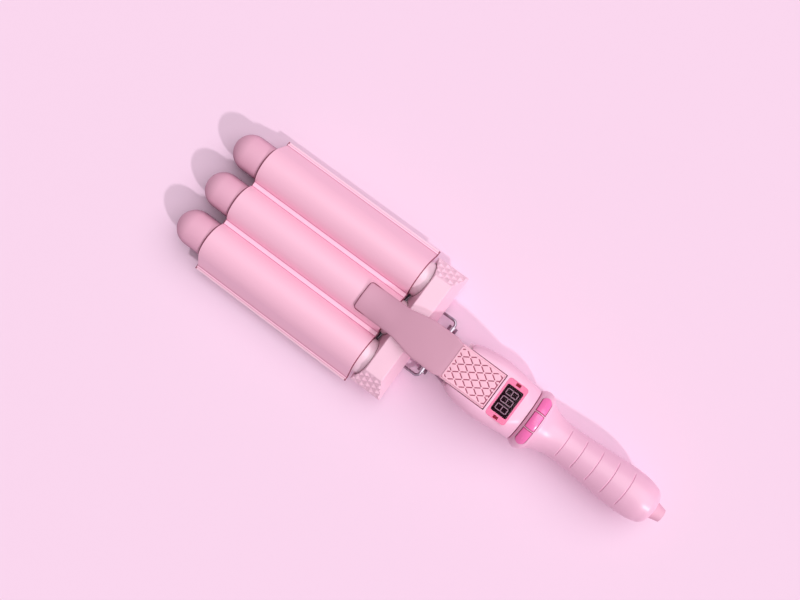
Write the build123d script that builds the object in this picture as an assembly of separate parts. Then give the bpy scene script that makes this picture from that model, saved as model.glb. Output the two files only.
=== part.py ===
from build123d import *

import os
from math import atan2, cos, degrees, radians, sin, sqrt, tan

# A hair waver: three heated barrels, a sprung upper jaw with three arches, a thumb lever,
# a fold-away wire stand, a body with a display, a control ring with three buttons and a handle.
#
# All lengths are millimetres. Working frame: X runs from the cool tips to the cord end, Z is up,
# X = 0 is the front of the barrel block at the height of the barrel axes, and Z = 0 is that height.
# Each piece is moved to the part's own frame as it is written: that origin lies under the middle
# of the whole part, on the surface that the part rests on.

# ---- barrels and cool tips ----
BARREL_RADIUS = 16.0
BARREL_WALL = 1.4
BARREL_PITCH = 38.2
BARREL_REACH = 158.2
BARREL_SEAT = 18.0
TIP_RADIUS = 15.5
TIP_LENGTH = 31.3
TIP_WALL = 2.0
TIP_SPIGOT = 9.0
HEATER_WIDTH = 12.0
HEATER_THICKNESS = 3.0
HEATER_FRONT_INSET = 12.0
SPREADER_WALL = 1.2
SENSOR_RADIUS = 1.5
SENSOR_LENGTH = 9.0
FUSE_RADIUS = 1.9
FUSE_LENGTH = 12.0
BUSH_WALL = 1.1
BUSH_LIP = 0.8
BUSH_LENGTH = 9.0

# ---- upper jaw ----
JAW_LENGTH = 155.0
JAW_GAP = 2.2
ARCH_GAP = 0.35
PLATE_THICKNESS = 0.8
SHEET_GAP = 0.05
COVER_THICKNESS = 0.9
STRIP_HEIGHT = 5.9
FLANGE_DROP = 5.0
ARCH_TANGENT = 62.0
COVER_HALF_WIDTH = 63.2
PLATE_HALF_WIDTH = 64.7
RIVET_RADIUS = 2.0
RIVET_SETBACKS = (5.0, 13.0)

# ---- barrel block ----
BLOCK_LENGTH = 29.4
BLOCK_HALF_WIDTH = 60.0
BLOCK_TOP = 20.0
BLOCK_FRONT_RAKE = 7.4
BLOCK_REAR_RAKE = 6.2
BLOCK_END_RAKE = 14.4
BLOCK_WALL = 1.7
FACET_PITCH = 6.5
FACET_DEPTH = 0.7
BRACKET_THICKNESS = 2.0
BRACKET_HALF_WIDTH = 48.0
BRACKET_HALF_HEIGHT = 11.5
BLOCK_POST_SPOTS = (30.0, 50.0)

# ---- neck, pivot pin and clamp spring ----
NECK_LENGTH = 35.2
NECK_HALF_WIDTH = 14.8
NECK_WALL = 2.2
NECK_TOP = 17.5
NECK_FLOOR = -11.0
NECK_BODY_ENGAGEMENT = 11.0
PIVOT_SETBACK = 12.9
PIVOT_HEIGHT = 12.0
PIN_RADIUS = 2.5
SPRING_WIRE = 1.6
SPRING_RADIUS = 4.6
SPRING_TURNS = 7
COLLAR_LENGTH = 3.5
COLLAR_HALF_WIDTH = 19.8
COLLAR_TOP = 21.0

# ---- lever and thumb pad ----
LEVER_SEAT = 27.9
LEVER_FRONT_HALF_WIDTH = 12.9
LEVER_WAIST_HALF_WIDTH = 17.0
LEVER_REAR_HALF_WIDTH = 15.6
LEVER_STEP = 4.0
LEVER_WALL = 1.8
LEVER_CORNER = 3.2
LEVER_EDGE_RADIUS = 1.6
LEVER_TAIL_DEPTH = 5.2
EAR_HALF_LENGTH = 9.0
EAR_DROP = 5.6
ARM_THICKNESS = 2.0
ARM_HALF_WIDTH = 12.0
ARM_FRONT_HALF_WIDTH = 8.0
ARM_FRONT_REACH = 16.0
PAD_LEAD = 7.2
PAD_LENGTH = 39.0
PAD_HALF_WIDTH = 14.3
PAD_SEAT = 1.6
PAD_PROUD = 0.5
PAD_LEVER_MARGIN = 0.6
DIAMOND_LENGTH = 10.2
DIAMOND_WIDTH = 6.8
DIAMOND_GROOVE_WIDTH = 1.0
DIAMOND_GROOVE_DEPTH = 0.9

# ---- wire stand ----
STAND_SETBACK = 12.9
STAND_PIVOT_DROP = 12.0
STAND_WIRE = 2.4
STAND_REACH = 44.5
STAND_HALF_WIDTH = 27.0
STAND_CROSSBAR_DROP = 17.7
STAND_BEND = 3.6
STAND_SLOT_MARGIN = 0.6
BOSS_RADIUS = 4.1
BOSS_LENGTH = 7.5
BOSS_SPIGOT_RADIUS = 2.6
LUG_HALF_LENGTH = 5.2

# ---- body ----
BODY_LENGTH = 61.8
BODY_WALL = 2.2
PAD_WELL_FLOOR = 15.5
PAD_WELL_GAP = 0.4
POST_RADIUS = 3.4
POST_GAP = 0.4
SCREW_RADIUS = 1.45
SCREW_HEAD_RADIUS = 2.7
SCREW_HEAD_HEIGHT = 1.8
BULKHEAD = 2.0
BOARD_LENGTH = 38.0
BOARD_HALF_WIDTH = 12.0
BOARD_THICKNESS = 1.6
BOARD_REAR_GAP = 8.0
STANDOFF_RADIUS = 2.6

# ---- display ----
BEZEL_GAP = 2.6
BEZEL_LENGTH = 17.6
BEZEL_WIDTH = 33.3
BEZEL_THICKNESS = 3.0
BEZEL_TOP = 33.2
BEZEL_CORNER = 2.5
WINDOW_LENGTH = 14.4
WINDOW_WIDTH = 23.7
WINDOW_SINK = 0.5
LENS_THICKNESS = 1.4
MODULE_THICKNESS = 3.2
INDICATOR_LENGTH = 4.1
INDICATOR_WIDTH = 2.4
INDICATOR_OFFSET = 14.7

# ---- control ring and buttons ----
HANDLE_RISE = 6.0
RING_GAP = 1.0
RING_WIDTH = 12.9
RING_RADIUS = 25.7
RING_EDGE_RADIUS = 22.8
RING_INNER_RADIUS = 21.9
RING_WEB = 1.5
TUBE_RADIUS = 17.9
TUBE_WALL = 3.2
BUTTON_WIDTH = 8.4
BUTTON_PROUD = 0.5
BUTTON_CLEARANCE = 0.3
BUTTON_TRAVEL = 0.7
BUTTON_CENTRE_HALF_ANGLE = 15.6
BUTTON_SIDE_ANGLE = 35.6
BUTTON_SIDE_HALF_ANGLE = 17.0
BUTTON_FLANGE = 1.0
BUTTON_LIP = 0.5
STEM_RADIUS = 1.2
STEM_LENGTH = 1.7
SWITCH_SIDE = 6.0
SWITCH_TOP_RADIUS = 19.6
SWITCH_HEIGHT = 3.0
STEM_BORE_GAP = 0.15
STEM_BORE_FLOOR = 0.2

# ---- handle, end cap and cord swivel ----
HANDLE_LENGTH = 99.7
HANDLE_WALL = 2.4
HANDLE_FRONT_RADIUS = 21.1
HANDLE_WAIST_RADIUS = 15.2
HANDLE_SWELL_RADIUS = 18.4
HANDLE_END_RADIUS = 16.0
HANDLE_WAIST_AT = 24.7
HANDLE_SWELL_AT = 84.0
GROOVE_FIRST = 22.4
GROOVE_PITCH = 14.1
GROOVE_COUNT = 5
GROOVE_WIDTH = 0.8
GROOVE_DEPTH = 0.6
GROOVE_HALF_ANGLE = 50.0
HANDLE_POST_SPOTS = ((34.0, 8.5), (66.0, -8.5))
END_CAP_LENGTH = 6.0
END_CAP_FACE_RADIUS = 10.5
END_CAP_SPIGOT = 4.0
SWIVEL_STEM_RADIUS = 6.6
SWIVEL_FLANGE_RADIUS = 9.0
SWIVEL_FLANGE_THICKNESS = 2.5
SWIVEL_NOZZLE_RADIUS = 7.6
SWIVEL_MOUTH_RADIUS = 5.4
SWIVEL_NOZZLE_LENGTH = 9.0
CORD_BORE_RADIUS = 3.25
CORD_BORE_LENGTH = 12.0
WASHER_THICKNESS = 1.0
CONTACT_RADIUS = 10.0
CONTACT_LENGTH = 11.0
LEAD_RADIUS = 2.6
HEATER_LEAD_RADIUS = 1.5
HEATER_LEAD_OFFSET = 8.2

# ---- fits ----
RUNNING_FIT = 0.05
SEAT_FIT = 0.1
SLIDE_GAP = 0.35

# ---- places that follow from the sizes ----
BARREL_YS = (BARREL_PITCH, 0.0, -BARREL_PITCH)
SIDES = ("left", "middle", "right")
JAW_REAR = -JAW_GAP
JAW_FRONT = JAW_REAR - JAW_LENGTH
PLATE_INNER = BARREL_RADIUS + ARCH_GAP
PLATE_OUTER = PLATE_INNER + PLATE_THICKNESS
COVER_INNER = PLATE_OUTER + SHEET_GAP
COVER_OUTER = COVER_INNER + COVER_THICKNESS
PIVOT_X = BLOCK_LENGTH + PIVOT_SETBACK
STAND_X = BLOCK_LENGTH + STAND_SETBACK
BODY_FRONT = BLOCK_LENGTH + NECK_LENGTH
BODY_REAR = BODY_FRONT + BODY_LENGTH
RING_FRONT = BODY_REAR + RING_GAP
RING_REAR = RING_FRONT + RING_WIDTH
RING_MIDDLE = (RING_FRONT + RING_REAR) / 2
HANDLE_REAR = RING_REAR + HANDLE_LENGTH
PAD_FRONT = BODY_FRONT - PAD_LEAD
PAD_REAR = PAD_FRONT + PAD_LENGTH
LEVER_FRONT = JAW_REAR - LEVER_SEAT
LEVER_REAR = PAD_REAR + PAD_LEVER_MARGIN
BEZEL_FRONT = LEVER_REAR + BEZEL_GAP
BEZEL_MIDDLE = BEZEL_FRONT + BEZEL_LENGTH / 2
BLOCK_BOTTOM = HANDLE_RISE - RING_RADIUS
CAP_REAR = HANDLE_REAR + END_CAP_LENGTH
SWIVEL_REAR = CAP_REAR + SWIVEL_NOZZLE_LENGTH
TIP_FRONT = -BARREL_REACH - TIP_LENGTH
BUSH_FRONT = BLOCK_FRONT_RAKE * (BARREL_RADIUS + BUSH_WALL) / BLOCK_TOP + BUSH_LIP
BOARD_REAR = BODY_REAR - BOARD_REAR_GAP
BOARD_FRONT = BOARD_REAR - BOARD_LENGTH
BOARD_Z = HANDLE_RISE - BOARD_THICKNESS
HANDLE_AXIS = Axis((0, 0, HANDLE_RISE), (1, 0, 0))
PART_ORIGIN = Pos(-(TIP_FRONT + SWIVEL_REAR) / 2, 0, -BLOCK_BOTTOM)


# ---- helpers ----
def block(x0, x1, y0, y1, z0, z1):
    """A box between two corners."""
    return Pos((x0 + x1) / 2, (y0 + y1) / 2, (z0 + z1) / 2) * Box(x1 - x0, y1 - y0, z1 - z0)


def rod_x(x0, x1, radius, y=0.0, z=0.0):
    """A cylinder along X."""
    return Pos((x0 + x1) / 2, y, z) * Rot(0, 90, 0) * Cylinder(radius, x1 - x0)


def rod_y(x, z, radius, y0, y1):
    """A cylinder along Y."""
    return Pos(x, (y0 + y1) / 2, z) * Rot(90, 0, 0) * Cylinder(radius, y1 - y0)


def rod_z(x, y, radius, z0, z1):
    """A cylinder along Z."""
    return Pos(x, y, (z0 + z1) / 2) * Cylinder(radius, z1 - z0)


def side_plate(points, half_width):
    """A plate with a straight-sided outline of (x, z) points, centred on Y = 0."""
    outline = make_face(Polyline(*[(x, 0, z) for x, z in points], close=True))
    return extrude(outline, amount=half_width, dir=(0, 1, 0), both=True)


def handle_point(x, radius):
    """A point on the underside of a piece that is turned about the handle axis."""
    return (x, 0, HANDLE_RISE - radius)


def turned(points):
    """A ring or rod about the handle axis: the outline is a list of (x, radius) points."""
    outline = make_face(Polyline(*[handle_point(x, radius) for x, radius in points], close=True))
    return revolve(outline, HANDLE_AXIS)


def fused(shapes):
    """One shape from many that overlap."""
    return shapes[0].fuse(*shapes[1:])


def group(shapes):
    """Separate solids that share one node, such as a set of screws."""
    return Compound([solid for shape in shapes for solid in shape.solids()])


def station(x, half_width, top, bottom, corner):
    """A rounded rectangle across the X axis."""
    plane = Plane(origin=(x, 0, (top + bottom) / 2), x_dir=(0, 1, 0), z_dir=(1, 0, 0))
    return plane * RectangleRounded(2 * half_width, top - bottom, corner)


def screw(x, y, head_z, tip_z):
    """A pan-head screw that points up, with its head's lower face at head_z."""
    head = rod_z(x, y, SCREW_HEAD_RADIUS, head_z, head_z + SCREW_HEAD_HEIGHT)
    return head + rod_z(x, y, SCREW_RADIUS, head_z + SCREW_HEAD_HEIGHT, tip_z)


def screw_hole(x, y, head_z, tip_z, mouth_z):
    """The space for a screw: its head's recess from mouth_z and its shank's hole."""
    head_top = head_z + SCREW_HEAD_HEIGHT
    recess = rod_z(x, y, SCREW_HEAD_RADIUS + SEAT_FIT, mouth_z, head_top)
    return recess + rod_z(x, y, SCREW_RADIUS + RUNNING_FIT, head_top, tip_z + 1)


# ---- barrel unit ----
def barrel(y):
    tube = rod_x(-BARREL_REACH, BARREL_SEAT, BARREL_RADIUS, y)
    return tube - rod_x(-BARREL_REACH - 1, BARREL_SEAT + 1, BARREL_RADIUS - BARREL_WALL, y)


def cool_tip(y):
    """Hollow domed cap with a spigot in the barrel's bore."""
    rear = -BARREL_REACH
    spigot_rear = rear + TIP_SPIGOT
    spigot = BARREL_RADIUS - BARREL_WALL - SEAT_FIT
    hollow = spigot - TIP_WALL
    dome_x = TIP_FRONT + TIP_RADIUS
    half = sqrt(0.5)
    outer = ThreePointArc((TIP_FRONT, y, 0), (dome_x - TIP_RADIUS * half, y, TIP_RADIUS * half),
                          (dome_x, y, TIP_RADIUS))
    inner = ThreePointArc((dome_x, y, hollow), (dome_x - hollow * half, y, hollow * half),
                          (dome_x - hollow, y, 0))
    wall = Polyline((dome_x, y, TIP_RADIUS), (rear, y, TIP_RADIUS), (rear, y, spigot),
                    (spigot_rear, y, spigot), (spigot_rear, y, hollow), (dome_x, y, hollow))
    closing = Line((dome_x - hollow, y, 0), (TIP_FRONT, y, 0))
    return revolve(make_face(outer + wall + inner + closing), Axis((0, y, 0), (1, 0, 0)))


def heater(y):
    front = -BARREL_REACH + HEATER_FRONT_INSET
    half = HEATER_WIDTH / 2
    return block(front, BARREL_SEAT, y - half, y + half, -HEATER_THICKNESS / 2, HEATER_THICKNESS / 2)


def heat_spreaders(y):
    """Two hollow half-round aluminium bars that press the heater against the barrel's bore."""
    front = -BARREL_REACH + HEATER_FRONT_INSET
    rear = BARREL_SEAT - 1
    radius = BARREL_RADIUS - BARREL_WALL - SEAT_FIT
    bar = rod_x(front, rear, radius, y)
    hollow = rod_x(front - 1, rear + 1, radius - SPREADER_WALL, y)
    flat = HEATER_THICKNESS / 2 + SPREADER_WALL
    hollow -= block(front - 1, rear + 1, y - radius, y + radius, -flat, flat)
    heater = HEATER_THICKNESS / 2
    slot = block(front - 1, rear + 1, y - radius - 1, y + radius + 1, -heater, heater)
    return bar - hollow - slot


def thermistor():
    """A sensor bead clipped inside the middle barrel's upper spreader."""
    z = BARREL_RADIUS - BARREL_WALL - SEAT_FIT - SPREADER_WALL - SENSOR_RADIUS - SEAT_FIT
    return rod_x(-BARREL_REACH / 2, -BARREL_REACH / 2 + SENSOR_LENGTH, SENSOR_RADIUS, 0, z)


def thermal_fuse():
    """A fuse capsule clipped inside the middle barrel's lower spreader."""
    z = BARREL_RADIUS - BARREL_WALL - SEAT_FIT - SPREADER_WALL - FUSE_RADIUS - SEAT_FIT
    return rod_x(-BARREL_REACH / 2, -BARREL_REACH / 2 + FUSE_LENGTH, FUSE_RADIUS, 0, -z)


def barrel_bush(y):
    ring = rod_x(BUSH_FRONT, BUSH_FRONT + BUSH_LENGTH, BARREL_RADIUS + BUSH_WALL + RUNNING_FIT, y)
    return ring - rod_x(BUSH_FRONT - 1, BUSH_FRONT + BUSH_LENGTH + 1, BARREL_RADIUS + RUNNING_FIT, y)


def barrel_bracket():
    rear = BARREL_SEAT + BRACKET_THICKNESS
    plate = block(BARREL_SEAT, rear, -BRACKET_HALF_WIDTH, BRACKET_HALF_WIDTH,
                  -BRACKET_HALF_HEIGHT, BRACKET_HALF_HEIGHT)
    for y in BARREL_YS:
        plate -= rod_x(BARREL_SEAT - 1, rear + 1, HEATER_LEAD_RADIUS + 1, y, HEATER_THICKNESS + 2)
    return plate


# ---- upper jaw ----
def under_arches(radius, strip_z, flange_z, half_width):
    """Cross-section (y, z) of all that lies under a sheet of three arches with flat strips."""
    base = -2 * BARREL_RADIUS
    slope = radians(ARCH_TANGENT)
    foot = radius * sin(slope) + (radius * cos(slope) - flange_z) / tan(slope)
    shape = Pos(0, (base + flange_z) / 2) * Rectangle(2 * half_width, flange_z - base)
    shape += Pos(0, (base + strip_z) / 2) * Rectangle(2 * BARREL_PITCH, strip_z - base)
    for y in BARREL_YS:
        shape += Pos(y, 0) * Circle(radius)
    for side in (-1, 1):
        flank = ((side * BARREL_PITCH, base),
                 (side * BARREL_PITCH, radius * cos(slope)),
                 (side * (BARREL_PITCH + radius * sin(slope)), radius * cos(slope)),
                 (side * (BARREL_PITCH + foot), flange_z),
                 (side * (BARREL_PITCH + foot), base))
        shape += make_face(Polyline(*flank, close=True))
    return shape


def arched_sheet(inner, outer, strip_top, flange_top, half_width):
    """A sheet bent over the three barrels, made as one outline less another."""
    thickness = outer - inner
    over = under_arches(outer, strip_top, flange_top, half_width)
    under = under_arches(inner, strip_top - thickness, flange_top - thickness, half_width + 1)
    plane = Plane(origin=(JAW_FRONT, 0, 0), x_dir=(0, 1, 0), z_dir=(1, 0, 0))
    sheet = extrude(plane * (over - under), amount=JAW_LENGTH, dir=(1, 0, 0))
    return sheet


def jaw_cover():
    sheet = arched_sheet(COVER_INNER, COVER_OUTER, STRIP_HEIGHT, -FLANGE_DROP, COVER_HALF_WIDTH)
    return sheet - rivets(RUNNING_FIT)


def jaw_heat_plate():
    strip_top = STRIP_HEIGHT - COVER_THICKNESS
    flange_top = -FLANGE_DROP - COVER_THICKNESS
    sheet = arched_sheet(PLATE_INNER, PLATE_OUTER, strip_top, flange_top, PLATE_HALF_WIDTH)
    return sheet - rivets(RUNNING_FIT)


def rivets(extra=0.0):
    """Two flush rivets through the crown of the middle arch and the arm on it."""
    pair = []
    for setback in RIVET_SETBACKS:
        x = JAW_REAR - setback
        pair.append(rod_z(x, 0, RIVET_RADIUS + extra, PLATE_INNER, arm_top(x)))
    return group(pair)


# ---- jaw arm and lever ----
ARM_START_Z = COVER_OUTER + 1.4
ARM_SLOPE = (PIVOT_HEIGHT + 19.5 - ARM_START_Z) / (PIVOT_X - JAW_REAR)


def arm_top(x):
    """Height of the arm's upper face: level on the arch, then a straight rise to the pivot."""
    return ARM_START_Z + max(0.0, x - JAW_REAR) * ARM_SLOPE


def jaw_arm():
    """Steel arm: riveted to the middle arch, with two ears that turn on the pivot pin."""
    front = JAW_REAR - ARM_FRONT_REACH
    rear = PIVOT_X + EAR_HALF_LENGTH - 2
    low = COVER_OUTER - 6
    strip = side_plate(((front, low), (front, arm_top(front)), (JAW_REAR, arm_top(JAW_REAR)),
                        (rear, arm_top(rear)), (rear, arm_top(rear) - ARM_THICKNESS),
                        (JAW_REAR, arm_top(JAW_REAR) - ARM_THICKNESS), (JAW_REAR, low)),
                       ARM_HALF_WIDTH)
    strip -= rod_x(front - 1, JAW_REAR, COVER_OUTER + RUNNING_FIT)
    waist = BLOCK_LENGTH * 0.7
    for side in (-1, 1):
        outer = sorted((side * ARM_FRONT_HALF_WIDTH, side * (ARM_HALF_WIDTH + 1)))
        strip -= block(front - 1, waist, outer[0], outer[1], low - 1, BLOCK_TOP + 20)
        ear_y = sorted((side * (ARM_HALF_WIDTH - ARM_THICKNESS), side * ARM_HALF_WIDTH))
        ear_front = PIVOT_X - EAR_HALF_LENGTH + 3
        top = arm_top(ear_front) - ARM_THICKNESS / 2
        ear = block(ear_front, rear, ear_y[0], ear_y[1], PIVOT_HEIGHT, top)
        ear += rod_y(PIVOT_X, PIVOT_HEIGHT, EAR_DROP, ear_y[0], ear_y[1])
        strip += ear
    strip -= rod_y(PIVOT_X, PIVOT_HEIGHT, PIN_RADIUS + RUNNING_FIT, -ARM_HALF_WIDTH - 1, ARM_HALF_WIDTH + 1)
    strip -= rivets(RUNNING_FIT)
    for x in lever_screw_spots():
        strip -= rod_z(x, 0, SCREW_RADIUS + RUNNING_FIT, 0, BLOCK_TOP + 30)
    return strip


def lever_top_points():
    """Side view of the lever's top, from the front edge on the arch to the tail in the body."""
    crown = COVER_OUTER
    crest = PAD_FRONT
    return ((LEVER_FRONT, crown + 2.3), (LEVER_FRONT + 12, crown + 3.4), (JAW_REAR + 3, crown + 7.2),
            (PIVOT_X - 26, crown + 11.3), (PIVOT_X - 9, crown + 15.3), (PIVOT_X + 5, crown + 17.8),
            (crest + 1, crown + 19.2), (crest + 13, crown + 18.9), (crest + 27, crown + 17.7),
            (LEVER_REAR + 1, crown + 16.2))


def lever_side(drop=0.0, bottom=-10.0):
    """All that lies under the lever's top curve, as wide as anything that uses it."""
    points = [(x, 0, z - drop) for x, z in lever_top_points()]
    top = Spline(*points)
    under = Polyline(points[-1], (points[-1][0], 0, bottom), (points[0][0], 0, bottom), points[0])
    return extrude(make_face(top + under), amount=30, dir=(0, 1, 0), both=True)


def lever_plan(inset=0.0):
    """The lever seen from above: narrow on the arch, wide at the pivot, narrow in the body."""
    front = LEVER_FRONT + inset
    rear = LEVER_REAR - inset
    nose = LEVER_FRONT_HALF_WIDTH - inset
    waist = LEVER_WAIST_HALF_WIDTH - inset
    tail = LEVER_REAR_HALF_WIDTH - inset
    swell_start = JAW_REAR + 8
    swell_end = PIVOT_X - 11
    waist_end = PIVOT_X + EAR_HALF_LENGTH
    upper = Spline((swell_start, nose), (swell_end, waist), tangents=((1, 0), (1, 0)))
    lower = Spline((swell_start, -nose), (swell_end, -waist), tangents=((1, 0), (1, 0)))
    edges = upper + lower
    edges += Polyline((swell_start, nose), (front, nose), (front, -nose), (swell_start, -nose))
    tail_front = waist_end + LEVER_STEP
    edges += Polyline((swell_end, waist), (waist_end, waist), (tail_front, tail), (rear, tail),
                      (rear, -tail), (tail_front, -tail), (waist_end, -waist), (swell_end, -waist))
    plan = make_face(edges)
    corners = plan.vertices().filter_by(lambda v: abs(v.X - front) < 0.01)
    return fillet(corners, LEVER_CORNER - inset / 2)


def lever_underside():
    """What is cut away below the lever: the block's room, the space round the ears, the tail."""
    ear_front = PIVOT_X - EAR_HALF_LENGTH
    ear_rear = PIVOT_X + EAR_HALF_LENGTH
    over_block = BLOCK_TOP + 2.4
    tail_low = COVER_OUTER + 16.2 - LEVER_TAIL_DEPTH
    base = -12.0
    return side_plate(((JAW_REAR, base), (JAW_REAR, PIVOT_HEIGHT + 1), (JAW_REAR + 6, over_block),
                       (BLOCK_LENGTH - 4, over_block), (ear_front, PIVOT_HEIGHT + 3),
                       (ear_front, PIVOT_HEIGHT - EAR_DROP), (ear_rear, PIVOT_HEIGHT - EAR_DROP),
                       (ear_rear, NECK_TOP + 5), (ear_rear + 4, tail_low), (LEVER_REAR + 3, tail_low),
                       (LEVER_REAR + 3, base)), 40)


def lever_screw_spots():
    return (PIVOT_X - 24, PIVOT_X - 12)


def pad_room(height, inset=0.0):
    """The thumb pad's outline as an upright prism."""
    length = PAD_LENGTH - 2 * inset
    width = 2 * (PAD_HALF_WIDTH - inset)
    outline = Pos(PAD_FRONT + PAD_LENGTH / 2, 0, 0) * RectangleRounded(length, width, 1.8)
    return extrude(outline, amount=height)


def lever():
    high = COVER_OUTER + 40
    solid = lever_side() & extrude(Pos(0, 0, -12) * lever_plan(), amount=high)
    rim = solid.faces().sort_by(Axis.Z)[-1].edges()
    solid = fillet(rim, LEVER_EDGE_RADIUS)
    inner_plan = extrude(Pos(0, 0, -12) * lever_plan(LEVER_WALL), amount=high)
    hollow_front = JAW_REAR - ARM_FRONT_REACH - 1
    hollow_break = PAD_FRONT - 3
    room = (lever_side(LEVER_WALL) & block(hollow_front, hollow_break, -40, 40, -12, high))
    room += lever_side(LEVER_WALL + PAD_SEAT) & block(hollow_break, LEVER_REAR, -40, 40, -12, high)
    shell = solid - (room & inner_plan)
    for x in lever_screw_spots():
        post = rod_z(x, 0, POST_RADIUS, arm_top(x), high) & solid
        shell += post - arm_zone()
    shell -= lever_underside()
    shell -= rod_x(LEVER_FRONT - 1, JAW_REAR + 1, COVER_OUTER + RUNNING_FIT)
    shell -= rod_y(PIVOT_X, PIVOT_HEIGHT, PIN_RADIUS + RUNNING_FIT, -30, 30)
    shell -= pad_room(high) - lever_side(PAD_SEAT)
    for x in lever_screw_spots():
        shell -= rod_z(x, 0, SCREW_RADIUS + RUNNING_FIT, 0, lever_screw_tip(x) + 0.3)
    return shell


def arm_zone():
    """The arm's own layer and all below it, which the lever's screw posts stand on."""
    rear = PIVOT_X + EAR_HALF_LENGTH
    corners = ((JAW_REAR, -12), (JAW_REAR, arm_top(JAW_REAR)), (rear, arm_top(rear)), (rear, -12))
    return side_plate(corners, 40)


def lever_screw_tip(x):
    return arm_top(x) + 2.2


def lever_screws():
    """Two screws from under the arm up into the lever's posts."""
    pair = []
    for x in lever_screw_spots():
        low = arm_top(x) - ARM_THICKNESS
        shank = rod_z(x, 0, SCREW_RADIUS, low - 1.2, lever_screw_tip(x))
        head = rod_z(x, 0, SCREW_HEAD_RADIUS, low - 2.4, low - 0.7)
        pair.append(shank + head)
    return group(pair)


def thumb_pad():
    """Soft pad with crossed grooves that leave a quilt of diamonds."""
    high = COVER_OUTER + 30
    body = pad_room(high, SEAT_FIT) & lever_side(-PAD_PROUD)
    body -= lever_side(PAD_SEAT)
    turn = degrees(atan2(DIAMOND_WIDTH, DIAMOND_LENGTH))
    middle = PAD_FRONT + PAD_LENGTH / 2
    reach = int((PAD_LENGTH / DIAMOND_LENGTH + 2 * PAD_HALF_WIDTH / DIAMOND_WIDTH) / 2) + 1
    bars = []
    for k in range(-reach - 1, reach + 1):
        for side in (-1, 1):
            bar = Box(3 * PAD_LENGTH, DIAMOND_GROOVE_WIDTH, high)
            bars.append(Pos(middle + (k + 0.5) * DIAMOND_LENGTH, 0, high / 2) * Rot(0, 0, side * turn) * bar)
    quilt = pad_room(high, 1.6) & fused(bars)
    return body - (quilt - lever_side(DIAMOND_GROOVE_DEPTH - PAD_PROUD))


# ---- block ----
def block_solid(inset=0.0):
    """The faceted barrel block: widest at its waist, with flat raked faces above and below."""
    halves = []
    for level in (BLOCK_TOP - inset, BLOCK_BOTTOM + inset):
        waist = Pos(BLOCK_LENGTH / 2, 0, 0) * Rectangle(BLOCK_LENGTH - 2 * inset,
                                                        2 * (BLOCK_HALF_WIDTH - inset))
        length = BLOCK_LENGTH - BLOCK_FRONT_RAKE - BLOCK_REAR_RAKE - 2 * inset
        middle = (BLOCK_FRONT_RAKE + BLOCK_LENGTH - BLOCK_REAR_RAKE) / 2
        width = 2 * (BLOCK_HALF_WIDTH - BLOCK_END_RAKE - inset)
        flat = Pos(middle, 0, level) * Rectangle(length, width)
        halves.append(loft([waist, flat]))
    return halves[0] + halves[1]


def facet_grooves():
    """Crossed grooves on the two upper end facets of the block, which leave raised diamonds."""
    tilt = degrees(atan2(BLOCK_TOP, BLOCK_END_RAKE))
    run = sqrt(BLOCK_TOP ** 2 + BLOCK_END_RAKE ** 2)
    cuts = []
    for side in (-1, 1):
        middle = Pos(BLOCK_LENGTH / 2, side * (BLOCK_HALF_WIDTH - BLOCK_END_RAKE / 2), BLOCK_TOP / 2)
        facet = middle * Rot(-side * tilt, 0, 0)
        window = facet * Box(BLOCK_LENGTH - 8, run - 3, 2 * FACET_DEPTH)
        bars = []
        count = int(BLOCK_LENGTH / FACET_PITCH) + 1
        for k in range(-count, count + 1):
            for turn in (-40, 40):
                bar = Box(1.0, 4 * run, 2 * FACET_DEPTH)
                bars.append(facet * Pos(k * FACET_PITCH, 0, 0) * Rot(0, 0, turn) * bar)
        cuts.append(window & fused(bars))
    return cuts


def block_shell(upper):
    """One half of the block's casing, split at the height of the barrel axes."""
    shell = block_solid() - block_solid(BLOCK_WALL)
    reach = BLOCK_HALF_WIDTH + 1
    for spot in BLOCK_POST_SPOTS:
        for side in (-1, 1):
            post = rod_z(block_post_x(), side * spot, POST_RADIUS - 0.6, BLOCK_BOTTOM, BLOCK_TOP)
            shell += post & block_solid()
    for y in BARREL_YS:
        shell -= rod_x(-1, BARREL_SEAT, BARREL_RADIUS + SEAT_FIT, y)
        shell -= rod_x(BUSH_FRONT, BUSH_FRONT + BUSH_LENGTH, BARREL_RADIUS + BUSH_WALL + SEAT_FIT, y)
    neck = NECK_HALF_WIDTH + SEAT_FIT
    shell -= block(BARREL_SEAT, BLOCK_LENGTH + 1, -neck, neck, NECK_FLOOR - SEAT_FIT, NECK_TOP + SEAT_FIT)
    for x, y in block_screw_spots():
        shell -= screw_hole(x, y, BLOCK_SCREW_HEAD, BLOCK_SCREW_TIP, BLOCK_BOTTOM - 1)
    if upper:
        for cut in facet_grooves():
            shell -= cut
        return shell & block(-1, BLOCK_LENGTH + 1, -reach, reach, 0, BLOCK_TOP + 1)
    shell -= stand_slot()
    return shell & block(-1, BLOCK_LENGTH + 1, -reach, reach, BLOCK_BOTTOM - 1, 0)


BLOCK_SCREW_HEAD = BLOCK_BOTTOM + 8.0
BLOCK_SCREW_TIP = 9.0


def block_post_x():
    return BARREL_SEAT + BRACKET_THICKNESS + POST_RADIUS


def block_screw_spots():
    return [(block_post_x(), side * spot) for spot in BLOCK_POST_SPOTS for side in (-1, 1)]


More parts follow.
